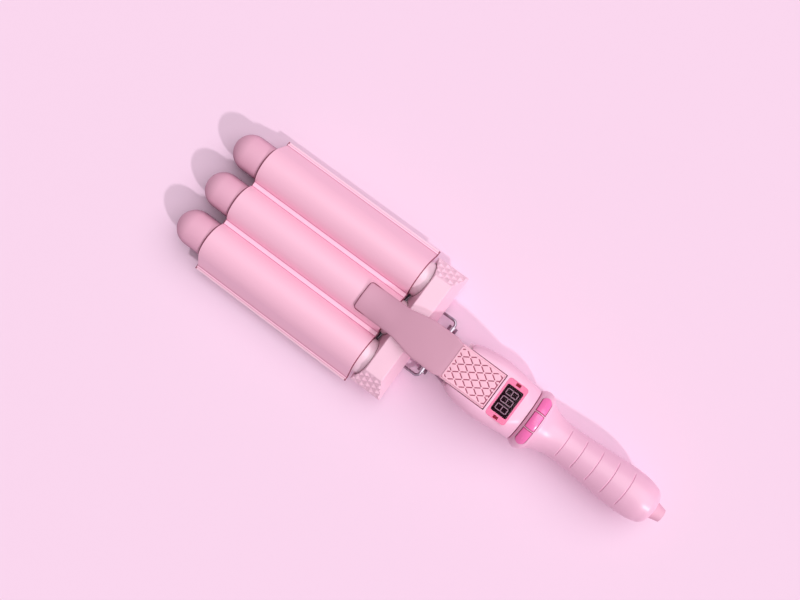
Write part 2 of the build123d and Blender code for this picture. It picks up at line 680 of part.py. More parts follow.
# ---- neck ----
def neck_frame():
    """Open channel that carries the pivot pin and the stand, from the bracket into the body."""
    front = BARREL_SEAT + BRACKET_THICKNESS
    rear = BODY_FRONT + NECK_BODY_ENGAGEMENT
    inner = NECK_HALF_WIDTH - NECK_WALL
    channel = block(front, rear, -NECK_HALF_WIDTH, NECK_HALF_WIDTH, NECK_FLOOR, NECK_TOP)
    channel -= block(front + NECK_WALL, rear + 1, -inner, inner, NECK_FLOOR + NECK_WALL, NECK_TOP + 1)
    channel -= block(BODY_FRONT - COLLAR_LENGTH, rear + 1, -NECK_HALF_WIDTH - 1, NECK_HALF_WIDTH + 1,
                     neck_tail_top(), NECK_TOP + 1)
    lug_low = -STAND_PIVOT_DROP - BOSS_RADIUS - 0.6
    for side in (-1, 1):
        wall = sorted((side * inner, side * NECK_HALF_WIDTH))
        channel += block(STAND_X - LUG_HALF_LENGTH, STAND_X + LUG_HALF_LENGTH, wall[0], wall[1],
                         lug_low, NECK_FLOOR + 1)
        channel -= rod_x(front - 1, front + NECK_WALL + 1, HEATER_LEAD_RADIUS + SEAT_FIT,
                         side * HEATER_LEAD_OFFSET, BOARD_Z + BOARD_THICKNESS / 2)
    reach = NECK_HALF_WIDTH + 1
    channel -= rod_y(PIVOT_X, PIVOT_HEIGHT, PIN_RADIUS, -reach, reach)
    channel -= rod_y(STAND_X, -STAND_PIVOT_DROP, BOSS_SPIGOT_RADIUS, -reach, reach)
    for x, y in neck_screw_spots():
        channel -= rod_z(x, y, SCREW_RADIUS + RUNNING_FIT, NECK_FLOOR - 1, NECK_FLOOR + NECK_WALL + 1)
    return channel


def neck_tail_top():
    """Height of the frame's walls inside the body, under the floor of the pad well."""
    return PAD_WELL_FLOOR - BODY_WALL - 2 * SEAT_FIT


def neck_screw_spots():
    x = BODY_FRONT + NECK_BODY_ENGAGEMENT / 2 + 1
    return ((x, NECK_HALF_WIDTH / 2), (x, -NECK_HALF_WIDTH / 2))


def pivot_pin():
    return rod_y(PIVOT_X, PIVOT_HEIGHT, PIN_RADIUS, -LEVER_WAIST_HALF_WIDTH, LEVER_WAIST_HALF_WIDTH)


def clamp_spring():
    """Torsion spring round the pin: touching turns, one leg under the lever, one to the floor."""
    pitch = SPRING_WIRE * 0.97
    coil = None
    for k in range(SPRING_TURNS):
        y = (k - (SPRING_TURNS - 1) / 2) * pitch
        turn = Pos(PIVOT_X, y, PIVOT_HEIGHT) * Rot(90, 0, 0) * Torus(SPRING_RADIUS, SPRING_WIRE / 2)
        coil = turn if coil is None else coil + turn
    end = (SPRING_TURNS - 1) / 2 * pitch
    wire = SPRING_WIRE / 2
    floor = NECK_FLOOR + NECK_WALL + SLIDE_GAP
    coil += rod_z(PIVOT_X - SPRING_RADIUS, -end, wire, floor, PIVOT_HEIGHT)
    arm_low = arm_top(PIVOT_X + SPRING_RADIUS) - ARM_THICKNESS
    coil += rod_z(PIVOT_X + SPRING_RADIUS, end, wire, PIVOT_HEIGHT, arm_low + ARM_SLOPE * -wire)
    return coil


def neck_collar():
    """Trim ring round the neck in front of the body, open at the top for the lever."""
    front = BODY_FRONT - COLLAR_LENGTH
    low = BODY_STATIONS[0][3] - 0.8
    ring = extrude(station(front, COLLAR_HALF_WIDTH, COLLAR_TOP, low, 6.0), amount=COLLAR_LENGTH)
    gap = NECK_HALF_WIDTH + SEAT_FIT
    return ring - block(front - 1, BODY_FRONT + 1, -gap, gap, NECK_FLOOR - SEAT_FIT, COLLAR_TOP + 1)


# ---- wire stand ----
def stand_slope():
    """Slope of the folded legs, which run down from the pivot to under the middle barrel."""
    return (STAND_CROSSBAR_DROP - STAND_PIVOT_DROP) / STAND_REACH


def stand_wire():
    far_x = STAND_X - STAND_REACH
    far_z = -STAND_CROSSBAR_DROP
    start = NECK_HALF_WIDTH + 1.5
    points = [(STAND_X, start, -STAND_PIVOT_DROP), (STAND_X, STAND_HALF_WIDTH, -STAND_PIVOT_DROP),
              (far_x, STAND_HALF_WIDTH, far_z), (far_x, -STAND_HALF_WIDTH, far_z),
              (STAND_X, -STAND_HALF_WIDTH, -STAND_PIVOT_DROP), (STAND_X, -start, -STAND_PIVOT_DROP)]
    path = FilletPolyline(*points, radius=STAND_BEND)
    section = Plane(origin=points[0], z_dir=(0, 1, 0)) * Circle(STAND_WIRE / 2)
    return sweep(section, path=path)


def stand_boss(side):
    """Bright collar on the neck's side, with the bore that the wire's end turns in."""
    pivot_z = -STAND_PIVOT_DROP
    outer = sorted((side * NECK_HALF_WIDTH, side * (NECK_HALF_WIDTH + BOSS_LENGTH)))
    spigot = sorted((side * (NECK_HALF_WIDTH - NECK_WALL), side * (NECK_HALF_WIDTH + 1)))
    collar = rod_y(STAND_X, pivot_z, BOSS_RADIUS, outer[0], outer[1])
    collar += rod_y(STAND_X, pivot_z, BOSS_SPIGOT_RADIUS, spigot[0], spigot[1])
    bore = sorted((side * (NECK_HALF_WIDTH + 1.2), side * (NECK_HALF_WIDTH + BOSS_LENGTH + 1)))
    return collar - rod_y(STAND_X, pivot_z, STAND_WIRE / 2 + RUNNING_FIT, bore[0], bore[1])


def stand_slot():
    """Slots through the block's floor and rear that the folded legs and crossbar lie in."""
    room = STAND_WIRE / 2 + STAND_SLOT_MARGIN
    rear = BLOCK_LENGTH + 2
    front = -4.0
    slope = stand_slope()
    top_rear = -STAND_PIVOT_DROP - (STAND_X - rear) * slope + room
    top_front = -STAND_PIVOT_DROP - (STAND_X - front) * slope + room
    outline = ((front, BLOCK_BOTTOM - 5), (front, top_front), (rear, top_rear), (rear, BLOCK_BOTTOM - 5))
    slots = side_plate(outline, STAND_HALF_WIDTH + room)
    return slots - side_plate(((front - 1, -40), (front - 1, 5), (rear + 1, 5), (rear + 1, -40)),
                              STAND_HALF_WIDTH - room)


# ---- body ----
# Each station: share of the body's length, half width, top, bottom, corner radius.
BODY_STATIONS = (
    (0.00, 20.75, 34.4, -13.4, 9.0),
    (0.12, 23.4, 35.6, -15.2, 10.0),
    (0.30, 25.3, 35.3, -17.0, 10.5),
    (0.49, 25.7, 34.1, -18.2, 10.0),
    (0.61, 25.1, 33.1, -18.4, 9.5),
    (0.76, 23.9, 32.3, -18.2, 10.5),
    (0.90, 23.1, 31.0, -17.4, 15.0),
    (1.00, 22.8, 29.6, -16.8, 20.0),
)


def body_solid(inset=0.0, lead=0.0, trail=0.0):
    """The body's outer form, or its inner one when inset, through rounded stations."""
    sections = []
    for share, half_width, top, bottom, corner in BODY_STATIONS:
        x = BODY_FRONT + share * BODY_LENGTH
        x = x + lead if share == 0.0 else x
        x = x + trail if share == 1.0 else x
        sections.append(station(x, half_width - inset, top - inset, bottom + inset, corner - inset))
    return loft(sections)


def pad_well(margin=0.0):
    """The room that the lever's tail sinks into; its rear wall is an arc about the pivot."""
    gap = PAD_WELL_GAP + margin
    tail_z = COVER_OUTER + 16.2 - PIVOT_HEIGHT
    sweep_radius = sqrt((LEVER_REAR - PIVOT_X) ** 2 + tail_z ** 2) + PAD_WELL_GAP + margin
    half = LEVER_REAR_HALF_WIDTH + gap
    well = block(BODY_FRONT - 1, BODY_REAR, -half, half, PAD_WELL_FLOOR - margin, COVER_OUTER + 40)
    return well & rod_y(PIVOT_X, PIVOT_HEIGHT, sweep_radius, -40, 40)


def body_posts():
    """Screw posts that join the two halves of the body: (x, y, top)."""
    front_x = BODY_FRONT + NECK_BODY_ENGAGEMENT + 1
    front_y = NECK_HALF_WIDTH + POST_RADIUS + POST_GAP
    rear_x = BODY_REAR - BULKHEAD - 2 * POST_RADIUS
    rear_y = BOARD_HALF_WIDTH + POST_RADIUS + POST_GAP
    well_top = PAD_WELL_FLOOR - BODY_WALL / 2
    return ((front_x, front_y, well_top), (front_x, -front_y, well_top),
            (rear_x, rear_y, 60.0), (rear_x, -rear_y, 60.0))


BODY_SCREW_HEAD = -9.0
BODY_SCREW_TIP = HANDLE_RISE + 6.0


def body_shell(upper):
    """One half of the body: the upper one has the cheeks, the pad well and the display seat."""
    outer = body_solid()
    inner = body_solid(BODY_WALL, BODY_WALL, 1.0)
    split = HANDLE_RISE
    bulkhead_front = BODY_REAR - BULKHEAD
    inner -= block(bulkhead_front, BODY_REAR + 2, -40, 40, -40, 60)
    if upper:
        inner -= pad_well(BODY_WALL)
        frame = BEZEL_WIDTH / 2 + 2
        inner -= block(BEZEL_FRONT - 1.5, BEZEL_FRONT + BEZEL_LENGTH + 1.5, -frame, frame,
                       BEZEL_TOP - BEZEL_THICKNESS - 1.5, BEZEL_TOP + 2)
    shell = outer - inner
    for x, y, top in body_posts():
        shell += rod_z(x, y, POST_RADIUS, BODY_STATIONS[3][3], top) & outer
    if not upper:
        for x, y in board_screw_spots():
            shell += rod_z(x, y, STANDOFF_RADIUS, BODY_STATIONS[3][3], BOARD_Z) & outer
    neck = NECK_HALF_WIDTH + SEAT_FIT
    shell -= block(BODY_FRONT - 1, BODY_FRONT + BODY_WALL + 1, -neck, neck, NECK_FLOOR - SEAT_FIT,
                   neck_tail_top() + SEAT_FIT)
    shell -= rod_x(bulkhead_front - 1, BODY_REAR + 1, TUBE_RADIUS + SEAT_FIT, 0, HANDLE_RISE)
    for x, y, _ in body_posts():
        shell -= screw_hole(x, y, BODY_SCREW_HEAD, BODY_SCREW_TIP, BODY_STATIONS[3][3] - 2)
    if upper:
        shell -= pad_well()
        shell -= display_room(BEZEL_LENGTH, BEZEL_WIDTH, SEAT_FIT, BEZEL_TOP - BEZEL_THICKNESS, BEZEL_CORNER)
        shell -= display_room(WINDOW_LENGTH - 1, WINDOW_WIDTH, 0.0, 0.0, 1.0)
        return shell & block(BODY_FRONT - 1, BODY_REAR + 1, -40, 40, split, 60)
    for x, y in neck_screw_spots():
        shell -= screw_hole(x, y, NECK_SCREW_HEAD, NECK_FLOOR, BODY_STATIONS[3][3] - 2)
    for x, y in board_screw_spots():
        shell -= rod_z(x, y, BOARD_SCREW_RADIUS + RUNNING_FIT, BOARD_Z - 7, BOARD_Z + 1)
    return shell & block(BODY_FRONT - 1, BODY_REAR + 1, -40, 40, -40, split)


NECK_SCREW_HEAD = NECK_FLOOR - SCREW_HEAD_HEIGHT - 1.0
BOARD_SCREW_RADIUS = 1.0


def display_room(length, width, extra, low, corner):
    """An upright prism with rounded corners, centred on the display."""
    outline = RectangleRounded(length + 2 * extra, width + 2 * extra, corner)
    return extrude(Pos(BEZEL_MIDDLE, 0, low) * outline, amount=60 - low)


def body_screws():
    return group([screw(x, y, BODY_SCREW_HEAD, BODY_SCREW_TIP) for x, y, _ in body_posts()])


def neck_screws():
    tip = NECK_FLOOR + NECK_WALL
    return group([screw(x, y, NECK_SCREW_HEAD, tip) for x, y in neck_screw_spots()])


def block_screws():
    spots = block_screw_spots()
    return group([screw(x, y, BLOCK_SCREW_HEAD, BLOCK_SCREW_TIP) for x, y in spots])


# ---- display and electronics ----
def display_bezel():
    low = BEZEL_TOP - BEZEL_THICKNESS
    frame = display_room(BEZEL_LENGTH, BEZEL_WIDTH, 0.0, low, BEZEL_CORNER)
    frame &= block(BEZEL_FRONT - 1, BEZEL_FRONT + BEZEL_LENGTH + 1, -40, 40, low, BEZEL_TOP)
    frame -= display_room(WINDOW_LENGTH, WINDOW_WIDTH, 0.0, low - 1, 1.5)
    for side in (-1, 1):
        frame -= indicator_room(side, 0.0, BEZEL_TOP + 1)
    return frame


def indicator_room(side, shrink, top):
    y = side * INDICATOR_OFFSET
    half_length = INDICATOR_LENGTH / 2 - shrink
    half_width = INDICATOR_WIDTH / 2 - shrink
    low = BEZEL_TOP - BEZEL_THICKNESS
    front = BEZEL_MIDDLE - half_length
    rear = BEZEL_MIDDLE + half_length
    return block(front, rear, y - half_width, y + half_width, low, top)


def indicator_windows():
    return group([indicator_room(side, SEAT_FIT, BEZEL_TOP - 0.2) for side in (-1, 1)])


def display_lens():
    top = BEZEL_TOP - WINDOW_SINK
    plate = display_room(WINDOW_LENGTH, WINDOW_WIDTH, -SEAT_FIT, top - LENS_THICKNESS, 1.4)
    return plate & block(BEZEL_FRONT, BEZEL_FRONT + BEZEL_LENGTH, -40, 40, top - LENS_THICKNESS, top)


def display_module():
    """The display's glass and backlight, which hang under the lens in the bezel's opening."""
    top = BEZEL_TOP - WINDOW_SINK - LENS_THICKNESS
    half_width = WINDOW_WIDTH / 2 - 1
    half_length = WINDOW_LENGTH / 2 - 1
    return block(BEZEL_MIDDLE - half_length, BEZEL_MIDDLE + half_length, -half_width, half_width,
                 top - MODULE_THICKNESS, top)


def board_screw_spots():
    return ((BOARD_FRONT + 5, 0.0), (BOARD_REAR - 5, 0.0))


def control_board():
    top = BOARD_Z + BOARD_THICKNESS
    board = block(BOARD_FRONT, BOARD_REAR, -BOARD_HALF_WIDTH, BOARD_HALF_WIDTH, BOARD_Z, top)
    for x, y in board_screw_spots():
        board -= rod_z(x, y, BOARD_SCREW_RADIUS + RUNNING_FIT, BOARD_Z - 1, BOARD_Z + BOARD_THICKNESS + 1)
    return board


def board_screws():
    top = BOARD_Z + BOARD_THICKNESS
    pair = []
    for x, y in board_screw_spots():
        pair.append(rod_z(x, y, BOARD_SCREW_RADIUS, BOARD_Z - 6, top) + rod_z(x, y, 1.9, top, top + 1.3))
    return group(pair)


def capacitor():
    middle = (BOARD_FRONT + BOARD_REAR) / 2
    return block(middle - 7, middle + 7, -9.5, -3.5, BOARD_Z - 9, BOARD_Z)


def relay():
    middle = (BOARD_FRONT + BOARD_REAR) / 2
    return block(middle - 7.5, middle + 7.5, 2.5, 10.5, BOARD_Z - 8, BOARD_Z)


def processor():
    middle = (BOARD_FRONT + BOARD_REAR) / 2
    top = BOARD_Z + BOARD_THICKNESS
    return block(middle - 5, middle + 5, -4, 4, top, top + 1.6)


def heater_leads():
    """Two sleeved leads from the barrel bracket through the neck to the board's front edge."""
    front = BARREL_SEAT + BRACKET_THICKNESS
    z = BOARD_Z + BOARD_THICKNESS / 2
    pair = [rod_x(front, BOARD_FRONT, HEATER_LEAD_RADIUS, side * HEATER_LEAD_OFFSET, z) for side in (-1, 1)]
    return group(pair)


def mains_lead():
    """Sleeved lead from the swivel's contacts, along the handle's axis, to the board's rear edge."""
    flange_front = HANDLE_REAR - END_CAP_SPIGOT - SWIVEL_FLANGE_THICKNESS
    contact_front = flange_front - WASHER_THICKNESS - 0.3 - CONTACT_LENGTH
    return rod_x(BOARD_REAR, contact_front, LEAD_RADIUS, 0, HANDLE_RISE)


# ---- control ring and buttons ----
def ring_zone(inner_radius, extra=0.0):
    """All between a radius and the ring's surface, which bulges in an arc from edge to edge."""
    front = handle_point(RING_FRONT, RING_EDGE_RADIUS + extra)
    crown = handle_point(RING_MIDDLE, RING_RADIUS + extra)
    rear = handle_point(RING_REAR, RING_EDGE_RADIUS + extra)
    inner_rear = handle_point(RING_REAR, inner_radius)
    inner_front = handle_point(RING_FRONT, inner_radius)
    edges = ThreePointArc(front, crown, rear) + Polyline(rear, inner_rear, inner_front, front)
    return revolve(make_face(edges), HANDLE_AXIS)


def control_ring():
    ring = ring_zone(TUBE_RADIUS + SEAT_FIT)
    ring -= rod_x(RING_FRONT + RING_WEB, RING_REAR - RING_WEB, RING_INNER_RADIUS, 0, HANDLE_RISE)
    for angle, half_angle, rounded in BUTTONS:
        ring -= button_room(angle, half_angle, rounded, BUTTON_CLEARANCE)
    return ring


# Each button: angle from the top of the ring, half of its angle, side of its rounded end.
BUTTONS = (
    (BUTTON_SIDE_ANGLE, BUTTON_SIDE_HALF_ANGLE, 1),
    (0.0, BUTTON_CENTRE_HALF_ANGLE, 0),
    (-BUTTON_SIDE_ANGLE, BUTTON_SIDE_HALF_ANGLE, -1),
)


def button_frame(angle):
    """A frame on the handle axis whose Z points out through a button and whose Y runs round."""
    return Pos(RING_MIDDLE, 0, HANDLE_RISE) * Rot(-angle, 0, 0)


def ring_sector(start, end):
    """A wedge from the handle axis through the ring, between two angles from its top."""
    reach = 3 * RING_RADIUS
    corners = [(reach * sin(radians(angle)), reach * cos(radians(angle))) for angle in (start, end)]
    plane = Plane(origin=(RING_FRONT, 0, HANDLE_RISE), x_dir=(0, 1, 0), z_dir=(1, 0, 0))
    wedge = make_face(Polyline((0, 0), *corners, close=True))
    return extrude(plane * wedge, amount=RING_WIDTH, dir=(1, 0, 0))


def button_room(angle, half_angle, rounded, extra):
    """A button's shape through the ring's wall: radial sides, and a round end where it has one."""
    low = SWITCH_TOP_RADIUS - 1.5
    half_width = BUTTON_WIDTH / 2 + extra
    half_run = RING_RADIUS * sin(radians(half_angle)) + extra
    spread = half_angle + degrees(extra / RING_INNER_RADIUS)
    if rounded == 0:
        outline = Rectangle(2 * half_width, 4 * half_run)
        wedge = ring_sector(angle - spread, angle + spread)
    else:
        straight = 3 * half_run
        centre = rounded * (half_run - half_width)
        outline = Pos(0, centre - rounded * straight / 2) * Rectangle(2 * half_width, straight)
        outline += Pos(0, centre) * Circle(half_width)
        wedge = ring_sector(angle - rounded * spread, angle + rounded * 60)
    prism = extrude(Pos(0, 0, low) * outline, amount=RING_RADIUS + 5 - low)
    return (button_frame(angle) * prism) & wedge


def button(angle, half_angle, rounded):
    """A cap that fills its opening, a flange that keeps it in the ring and a stem to its switch."""
    flange_top = RING_INNER_RADIUS - 0.2
    flange_low = flange_top - BUTTON_FLANGE
    cap = button_room(angle, half_angle, rounded, 0.0) & ring_zone(flange_low, BUTTON_PROUD)
    half_run = RING_RADIUS * sin(radians(half_angle)) - 1.5
    plate = Box(BUTTON_WIDTH + 2 * BUTTON_LIP, 2 * half_run, 8.0)
    wide = button_frame(angle) * Pos(0, 0, RING_INNER_RADIUS) * plate
    sleeve = rod_x(RING_FRONT, RING_REAR, flange_top, 0, HANDLE_RISE)
    sleeve -= rod_x(RING_FRONT - 1, RING_REAR + 1, flange_low, 0, HANDLE_RISE)
    stem_low = flange_low - STEM_LENGTH
    rod = Cylinder(STEM_RADIUS, flange_top - stem_low)
    stem = button_frame(angle) * Pos(0, 0, (stem_low + flange_top) / 2) * rod
    return cap + (wide & sleeve) + stem


def tact_switch(angle):
    """A square switch body with the bore that a button's stem slides in."""
    body = Pos(0, 0, SWITCH_TOP_RADIUS - SWITCH_HEIGHT / 2) * Box(SWITCH_SIDE, SWITCH_SIDE, SWITCH_HEIGHT)
    depth = STEM_LENGTH + BUTTON_TRAVEL + STEM_BORE_FLOOR
    bore = Pos(0, 0, SWITCH_TOP_RADIUS) * Cylinder(STEM_RADIUS + STEM_BORE_GAP, 2 * depth)
    return button_frame(angle) * (body - bore)


def coupling_tube():
    """The tube that body, ring and handle are threaded on, with flats for the switches."""
    front = BODY_REAR - BULKHEAD - 2
    rear = RING_REAR + 2
    tube = rod_x(front, rear, TUBE_RADIUS, 0, HANDLE_RISE)
    tube -= rod_x(front - 1, rear + 1, TUBE_RADIUS - TUBE_WALL, 0, HANDLE_RISE)
    seat = SWITCH_TOP_RADIUS - SWITCH_HEIGHT
    for angle, _, _ in BUTTONS:
        flat = Pos(0, 0, seat + 5) * Box(SWITCH_SIDE + 0.2, SWITCH_SIDE + 0.2, 10)
        tube -= button_frame(angle) * flat
    return tube


# ---- handle ----
def handle_curve(inset=0.0):
    """The handle's outline in side view, from the ring to the end cap."""
    x = RING_REAR
    spots = ((x, HANDLE_FRONT_RADIUS), (x + 7.5, 17.8), (x + 15, 15.9),
             (x + HANDLE_WAIST_AT, HANDLE_WAIST_RADIUS), (x + 41, 15.9), (x + 55, 16.9), (x + 71, 18.05),
             (x + HANDLE_SWELL_AT, HANDLE_SWELL_RADIUS),
             (HANDLE_REAR - 5, 17.4), (HANDLE_REAR, HANDLE_END_RADIUS))
    return [handle_point(spot, radius - inset) for spot, radius in spots]


def handle_solid(inset=0.0):
    points = handle_curve(inset)
    axis_end = handle_point(HANDLE_REAR, 0)
    axis_start = handle_point(RING_REAR, 0)
    edges = Spline(*points) + Polyline(points[-1], axis_end, axis_start, points[0])
    return revolve(make_face(edges), HANDLE_AXIS)


def handle_radius(x):
    """The handle's radius at x, measured on its solid."""
    slice_box = handle_solid() & block(x - 0.05, x + 0.05, -40, 40, -40, 60)
    return slice_box.bounding_box().max.Y


def finger_grooves():
    """Fine arcs across the top of the grip."""
    cuts = []
    for k in range(GROOVE_COUNT):
        x = RING_REAR + GROOVE_FIRST + k * GROOVE_PITCH
        radius = handle_radius(x)
        ring = rod_x(x - GROOVE_WIDTH / 2, x + GROOVE_WIDTH / 2, radius + 2, 0, HANDLE_RISE)
        ring -= rod_x(x - GROOVE_WIDTH, x + GROOVE_WIDTH, radius - GROOVE_DEPTH, 0, HANDLE_RISE)
        half_width = radius * sin(radians(GROOVE_HALF_ANGLE))
        cuts.append(ring & block(x - 2, x + 2, -half_width, half_width, HANDLE_RISE + 2, 60))
    return cuts


HANDLE_SCREW_HEAD = HANDLE_RISE - 11.0
HANDLE_SCREW_TIP = HANDLE_RISE + 6.0


def handle_shell(upper):
    outer = handle_solid()
    inner = handle_solid(HANDLE_WALL)
    contact_rear = HANDLE_REAR - END_CAP_SPIGOT - SWIVEL_FLANGE_THICKNESS - WASHER_THICKNESS - 0.3
    web_rear = contact_rear - 3
    inner -= block(web_rear - BULKHEAD, web_rear, -40, 40, -40, 60)
    shell = outer - inner
    for along, y in HANDLE_POST_SPOTS:
        x = RING_REAR + along
        shell += rod_z(x, y, POST_RADIUS, -30, 60) & outer
    shell -= rod_x(RING_REAR - 1, RING_REAR + 2 + SEAT_FIT, TUBE_RADIUS + SEAT_FIT, 0, HANDLE_RISE)
    shell -= rod_x(RING_REAR - 1, web_rear - BULKHEAD, LEAD_RADIUS + 1, 0, HANDLE_RISE)
    shell -= rod_x(web_rear - BULKHEAD - 1, HANDLE_REAR + 1, CONTACT_RADIUS + SEAT_FIT, 0, HANDLE_RISE)
    cap_fit = end_cap_spigot_radius() + SEAT_FIT
    shell -= rod_x(HANDLE_REAR - END_CAP_SPIGOT - SEAT_FIT, HANDLE_REAR + 1, cap_fit, 0, HANDLE_RISE)
    for along, y in HANDLE_POST_SPOTS:
        shell -= screw_hole(RING_REAR + along, y, HANDLE_SCREW_HEAD, HANDLE_SCREW_TIP, -30)
    if upper:
        for cut in finger_grooves():
            shell -= cut
        return shell & block(RING_REAR - 1, HANDLE_REAR + 1, -40, 40, HANDLE_RISE, 60)
    return shell & block(RING_REAR - 1, HANDLE_REAR + 1, -40, 40, -40, HANDLE_RISE)


def handle_screws():
    spots = [(RING_REAR + along, y) for along, y in HANDLE_POST_SPOTS]
    return group([screw(x, y, HANDLE_SCREW_HEAD, HANDLE_SCREW_TIP) for x, y in spots])


def end_cap_spigot_radius():
    return HANDLE_END_RADIUS - HANDLE_WALL


def end_cap():
    """Rounded collar that closes the handle and carries the swivel's stem."""
    spigot = end_cap_spigot_radius()
    bore = SWIVEL_STEM_RADIUS + RUNNING_FIT
    front = HANDLE_REAR - END_CAP_SPIGOT
    edge = handle_point(HANDLE_REAR, HANDLE_END_RADIUS)
    face = handle_point(CAP_REAR, END_CAP_FACE_RADIUS)
    shoulder = handle_point(HANDLE_REAR + END_CAP_LENGTH * 0.65, HANDLE_END_RADIUS - END_CAP_LENGTH * 0.35)
    rest = Polyline(face, handle_point(CAP_REAR, bore), handle_point(front, bore),
                    handle_point(front, spigot), handle_point(HANDLE_REAR, spigot), edge)
    return revolve(make_face(ThreePointArc(edge, shoulder, face) + rest), HANDLE_AXIS)


def swivel_washer():
    front = HANDLE_REAR - END_CAP_SPIGOT - WASHER_THICKNESS
    rear = HANDLE_REAR - END_CAP_SPIGOT
    ring = rod_x(front, rear, end_cap_spigot_radius() - 1, 0, HANDLE_RISE)
    return ring - rod_x(front - 1, rear + 1, SWIVEL_STEM_RADIUS + RUNNING_FIT, 0, HANDLE_RISE)


def cord_swivel():
    """Turning cord outlet: a flange behind the washer, a stem and a tapered nozzle."""
    washer_front = HANDLE_REAR - END_CAP_SPIGOT - WASHER_THICKNESS
    flange_rear = washer_front - RUNNING_FIT
    front = flange_rear - SWIVEL_FLANGE_THICKNESS
    nozzle = CAP_REAR + SLIDE_GAP
    swivel = turned(((front, 0), (front, SWIVEL_FLANGE_RADIUS), (flange_rear, SWIVEL_FLANGE_RADIUS),
                     (flange_rear, SWIVEL_STEM_RADIUS), (nozzle, SWIVEL_STEM_RADIUS),
                     (nozzle, SWIVEL_NOZZLE_RADIUS), (SWIVEL_REAR, SWIVEL_MOUTH_RADIUS), (SWIVEL_REAR, 0)))
    return swivel - rod_x(SWIVEL_REAR - CORD_BORE_LENGTH, SWIVEL_REAR + 1, CORD_BORE_RADIUS, 0, HANDLE_RISE)


def swivel_contacts():
    """Fixed contact block that the swivel's flange faces, held in the handle's web."""
    rear = HANDLE_REAR - END_CAP_SPIGOT - SWIVEL_FLANGE_THICKNESS - WASHER_THICKNESS - 0.3
    return rod_x(rear - CONTACT_LENGTH, rear, CONTACT_RADIUS, 0, HANDLE_RISE)


# ---- all pieces ----
def pieces():
    """Every node's name and its solid or group of solids, in the working frame."""
    nodes = {}
    for name, y in zip(SIDES, BARREL_YS):
        nodes["barrel_" + name] = barrel(y)
        nodes["cool_tip_" + name] = cool_tip(y)
        nodes["heater_" + name] = heater(y)
        nodes["heat_spreaders_" + name] = heat_spreaders(y)
    nodes["thermistor"] = thermistor()
    nodes["thermal_fuse"] = thermal_fuse()
    nodes["barrel_bushes"] = group([barrel_bush(y) for y in BARREL_YS])
    nodes["barrel_bracket"] = barrel_bracket()
    nodes["block_upper_shell"] = block_shell(True)
    nodes["block_lower_shell"] = block_shell(False)
    nodes["block_screws"] = block_screws()
    nodes["jaw_cover"] = jaw_cover()
    nodes["jaw_heat_plate"] = jaw_heat_plate()
    nodes["jaw_arm"] = jaw_arm()
    nodes["jaw_rivets"] = rivets()
    nodes["lever"] = lever()
    nodes["lever_screws"] = lever_screws()
    nodes["thumb_pad"] = thumb_pad()
    nodes["clamp_spring"] = clamp_spring()
    nodes["neck_frame"] = neck_frame()
    nodes["neck_collar"] = neck_collar()
    nodes["neck_screws"] = neck_screws()
    nodes["pivot_pin"] = pivot_pin()
    nodes["stand_bosses"] = group([stand_boss(side) for side in (-1, 1)])
    nodes["stand_wire"] = stand_wire()
    nodes["body_upper_shell"] = body_shell(True)
    nodes["body_lower_shell"] = body_shell(False)
    nodes["body_screws"] = body_screws()
    nodes["display_bezel"] = display_bezel()
    nodes["display_lens"] = display_lens()
    nodes["display_module"] = display_module()
    nodes["indicator_windows"] = indicator_windows()
    nodes["control_board"] = control_board()
    nodes["board_screws"] = board_screws()
    nodes["filter_capacitor"] = capacitor()
    nodes["heater_relay"] = relay()
    nodes["processor"] = processor()
    nodes["heater_leads"] = heater_leads()
    nodes["mains_lead"] = mains_lead()
    nodes["control_ring"] = control_ring()
    for name, values in zip(("minus", "power", "plus"), BUTTONS):
        nodes["button_" + name] = button(*values)
    nodes["coupling_tube"] = coupling_tube()
    nodes["tact_switches"] = group([tact_switch(values[0]) for values in BUTTONS])
    nodes["handle_upper_shell"] = handle_shell(True)
    nodes["handle_lower_shell"] = handle_shell(False)
    nodes["handle_screws"] = handle_screws()
    nodes["end_cap"] = end_cap()
    nodes["swivel_washer"] = swivel_washer()
    nodes["cord_swivel"] = cord_swivel()
    nodes["swivel_contacts"] = swivel_contacts()
    return nodes


def main():
    os.makedirs("parts", exist_ok=True)
    for name, shape in pieces().items():
        export_step(PART_ORIGIN * shape, "parts/" + name + ".step")


if __name__ == "__main__":
    main()
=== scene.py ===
from math import pi, radians, sqrt

import bmesh
import bpy
import numpy as np
from mathutils import Matrix, Vector


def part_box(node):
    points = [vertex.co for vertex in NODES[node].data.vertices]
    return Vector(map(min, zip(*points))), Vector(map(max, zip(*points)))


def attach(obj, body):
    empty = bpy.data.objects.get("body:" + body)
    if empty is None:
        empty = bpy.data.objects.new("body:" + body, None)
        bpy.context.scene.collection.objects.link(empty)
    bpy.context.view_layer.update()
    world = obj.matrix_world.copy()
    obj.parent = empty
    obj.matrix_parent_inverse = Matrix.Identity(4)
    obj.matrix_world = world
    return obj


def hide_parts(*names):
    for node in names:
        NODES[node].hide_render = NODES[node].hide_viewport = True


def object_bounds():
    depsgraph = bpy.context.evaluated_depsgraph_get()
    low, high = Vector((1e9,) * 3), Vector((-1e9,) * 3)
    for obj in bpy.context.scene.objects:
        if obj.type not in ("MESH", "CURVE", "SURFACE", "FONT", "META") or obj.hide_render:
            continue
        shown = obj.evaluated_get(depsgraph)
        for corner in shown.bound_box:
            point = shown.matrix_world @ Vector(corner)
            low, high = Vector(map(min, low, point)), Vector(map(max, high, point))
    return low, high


bl_info = {
    "name": "Hair Waver",
    "version": (1, 0, 0),
    "blender": (4, 5, 0),
    "location": "View3D > Sidebar > Hair Waver",
    "description": "Dresses a packed hair waver: barrels, arched jaw, quilted pad, display, keys and handle",
    "category": "Object",
}

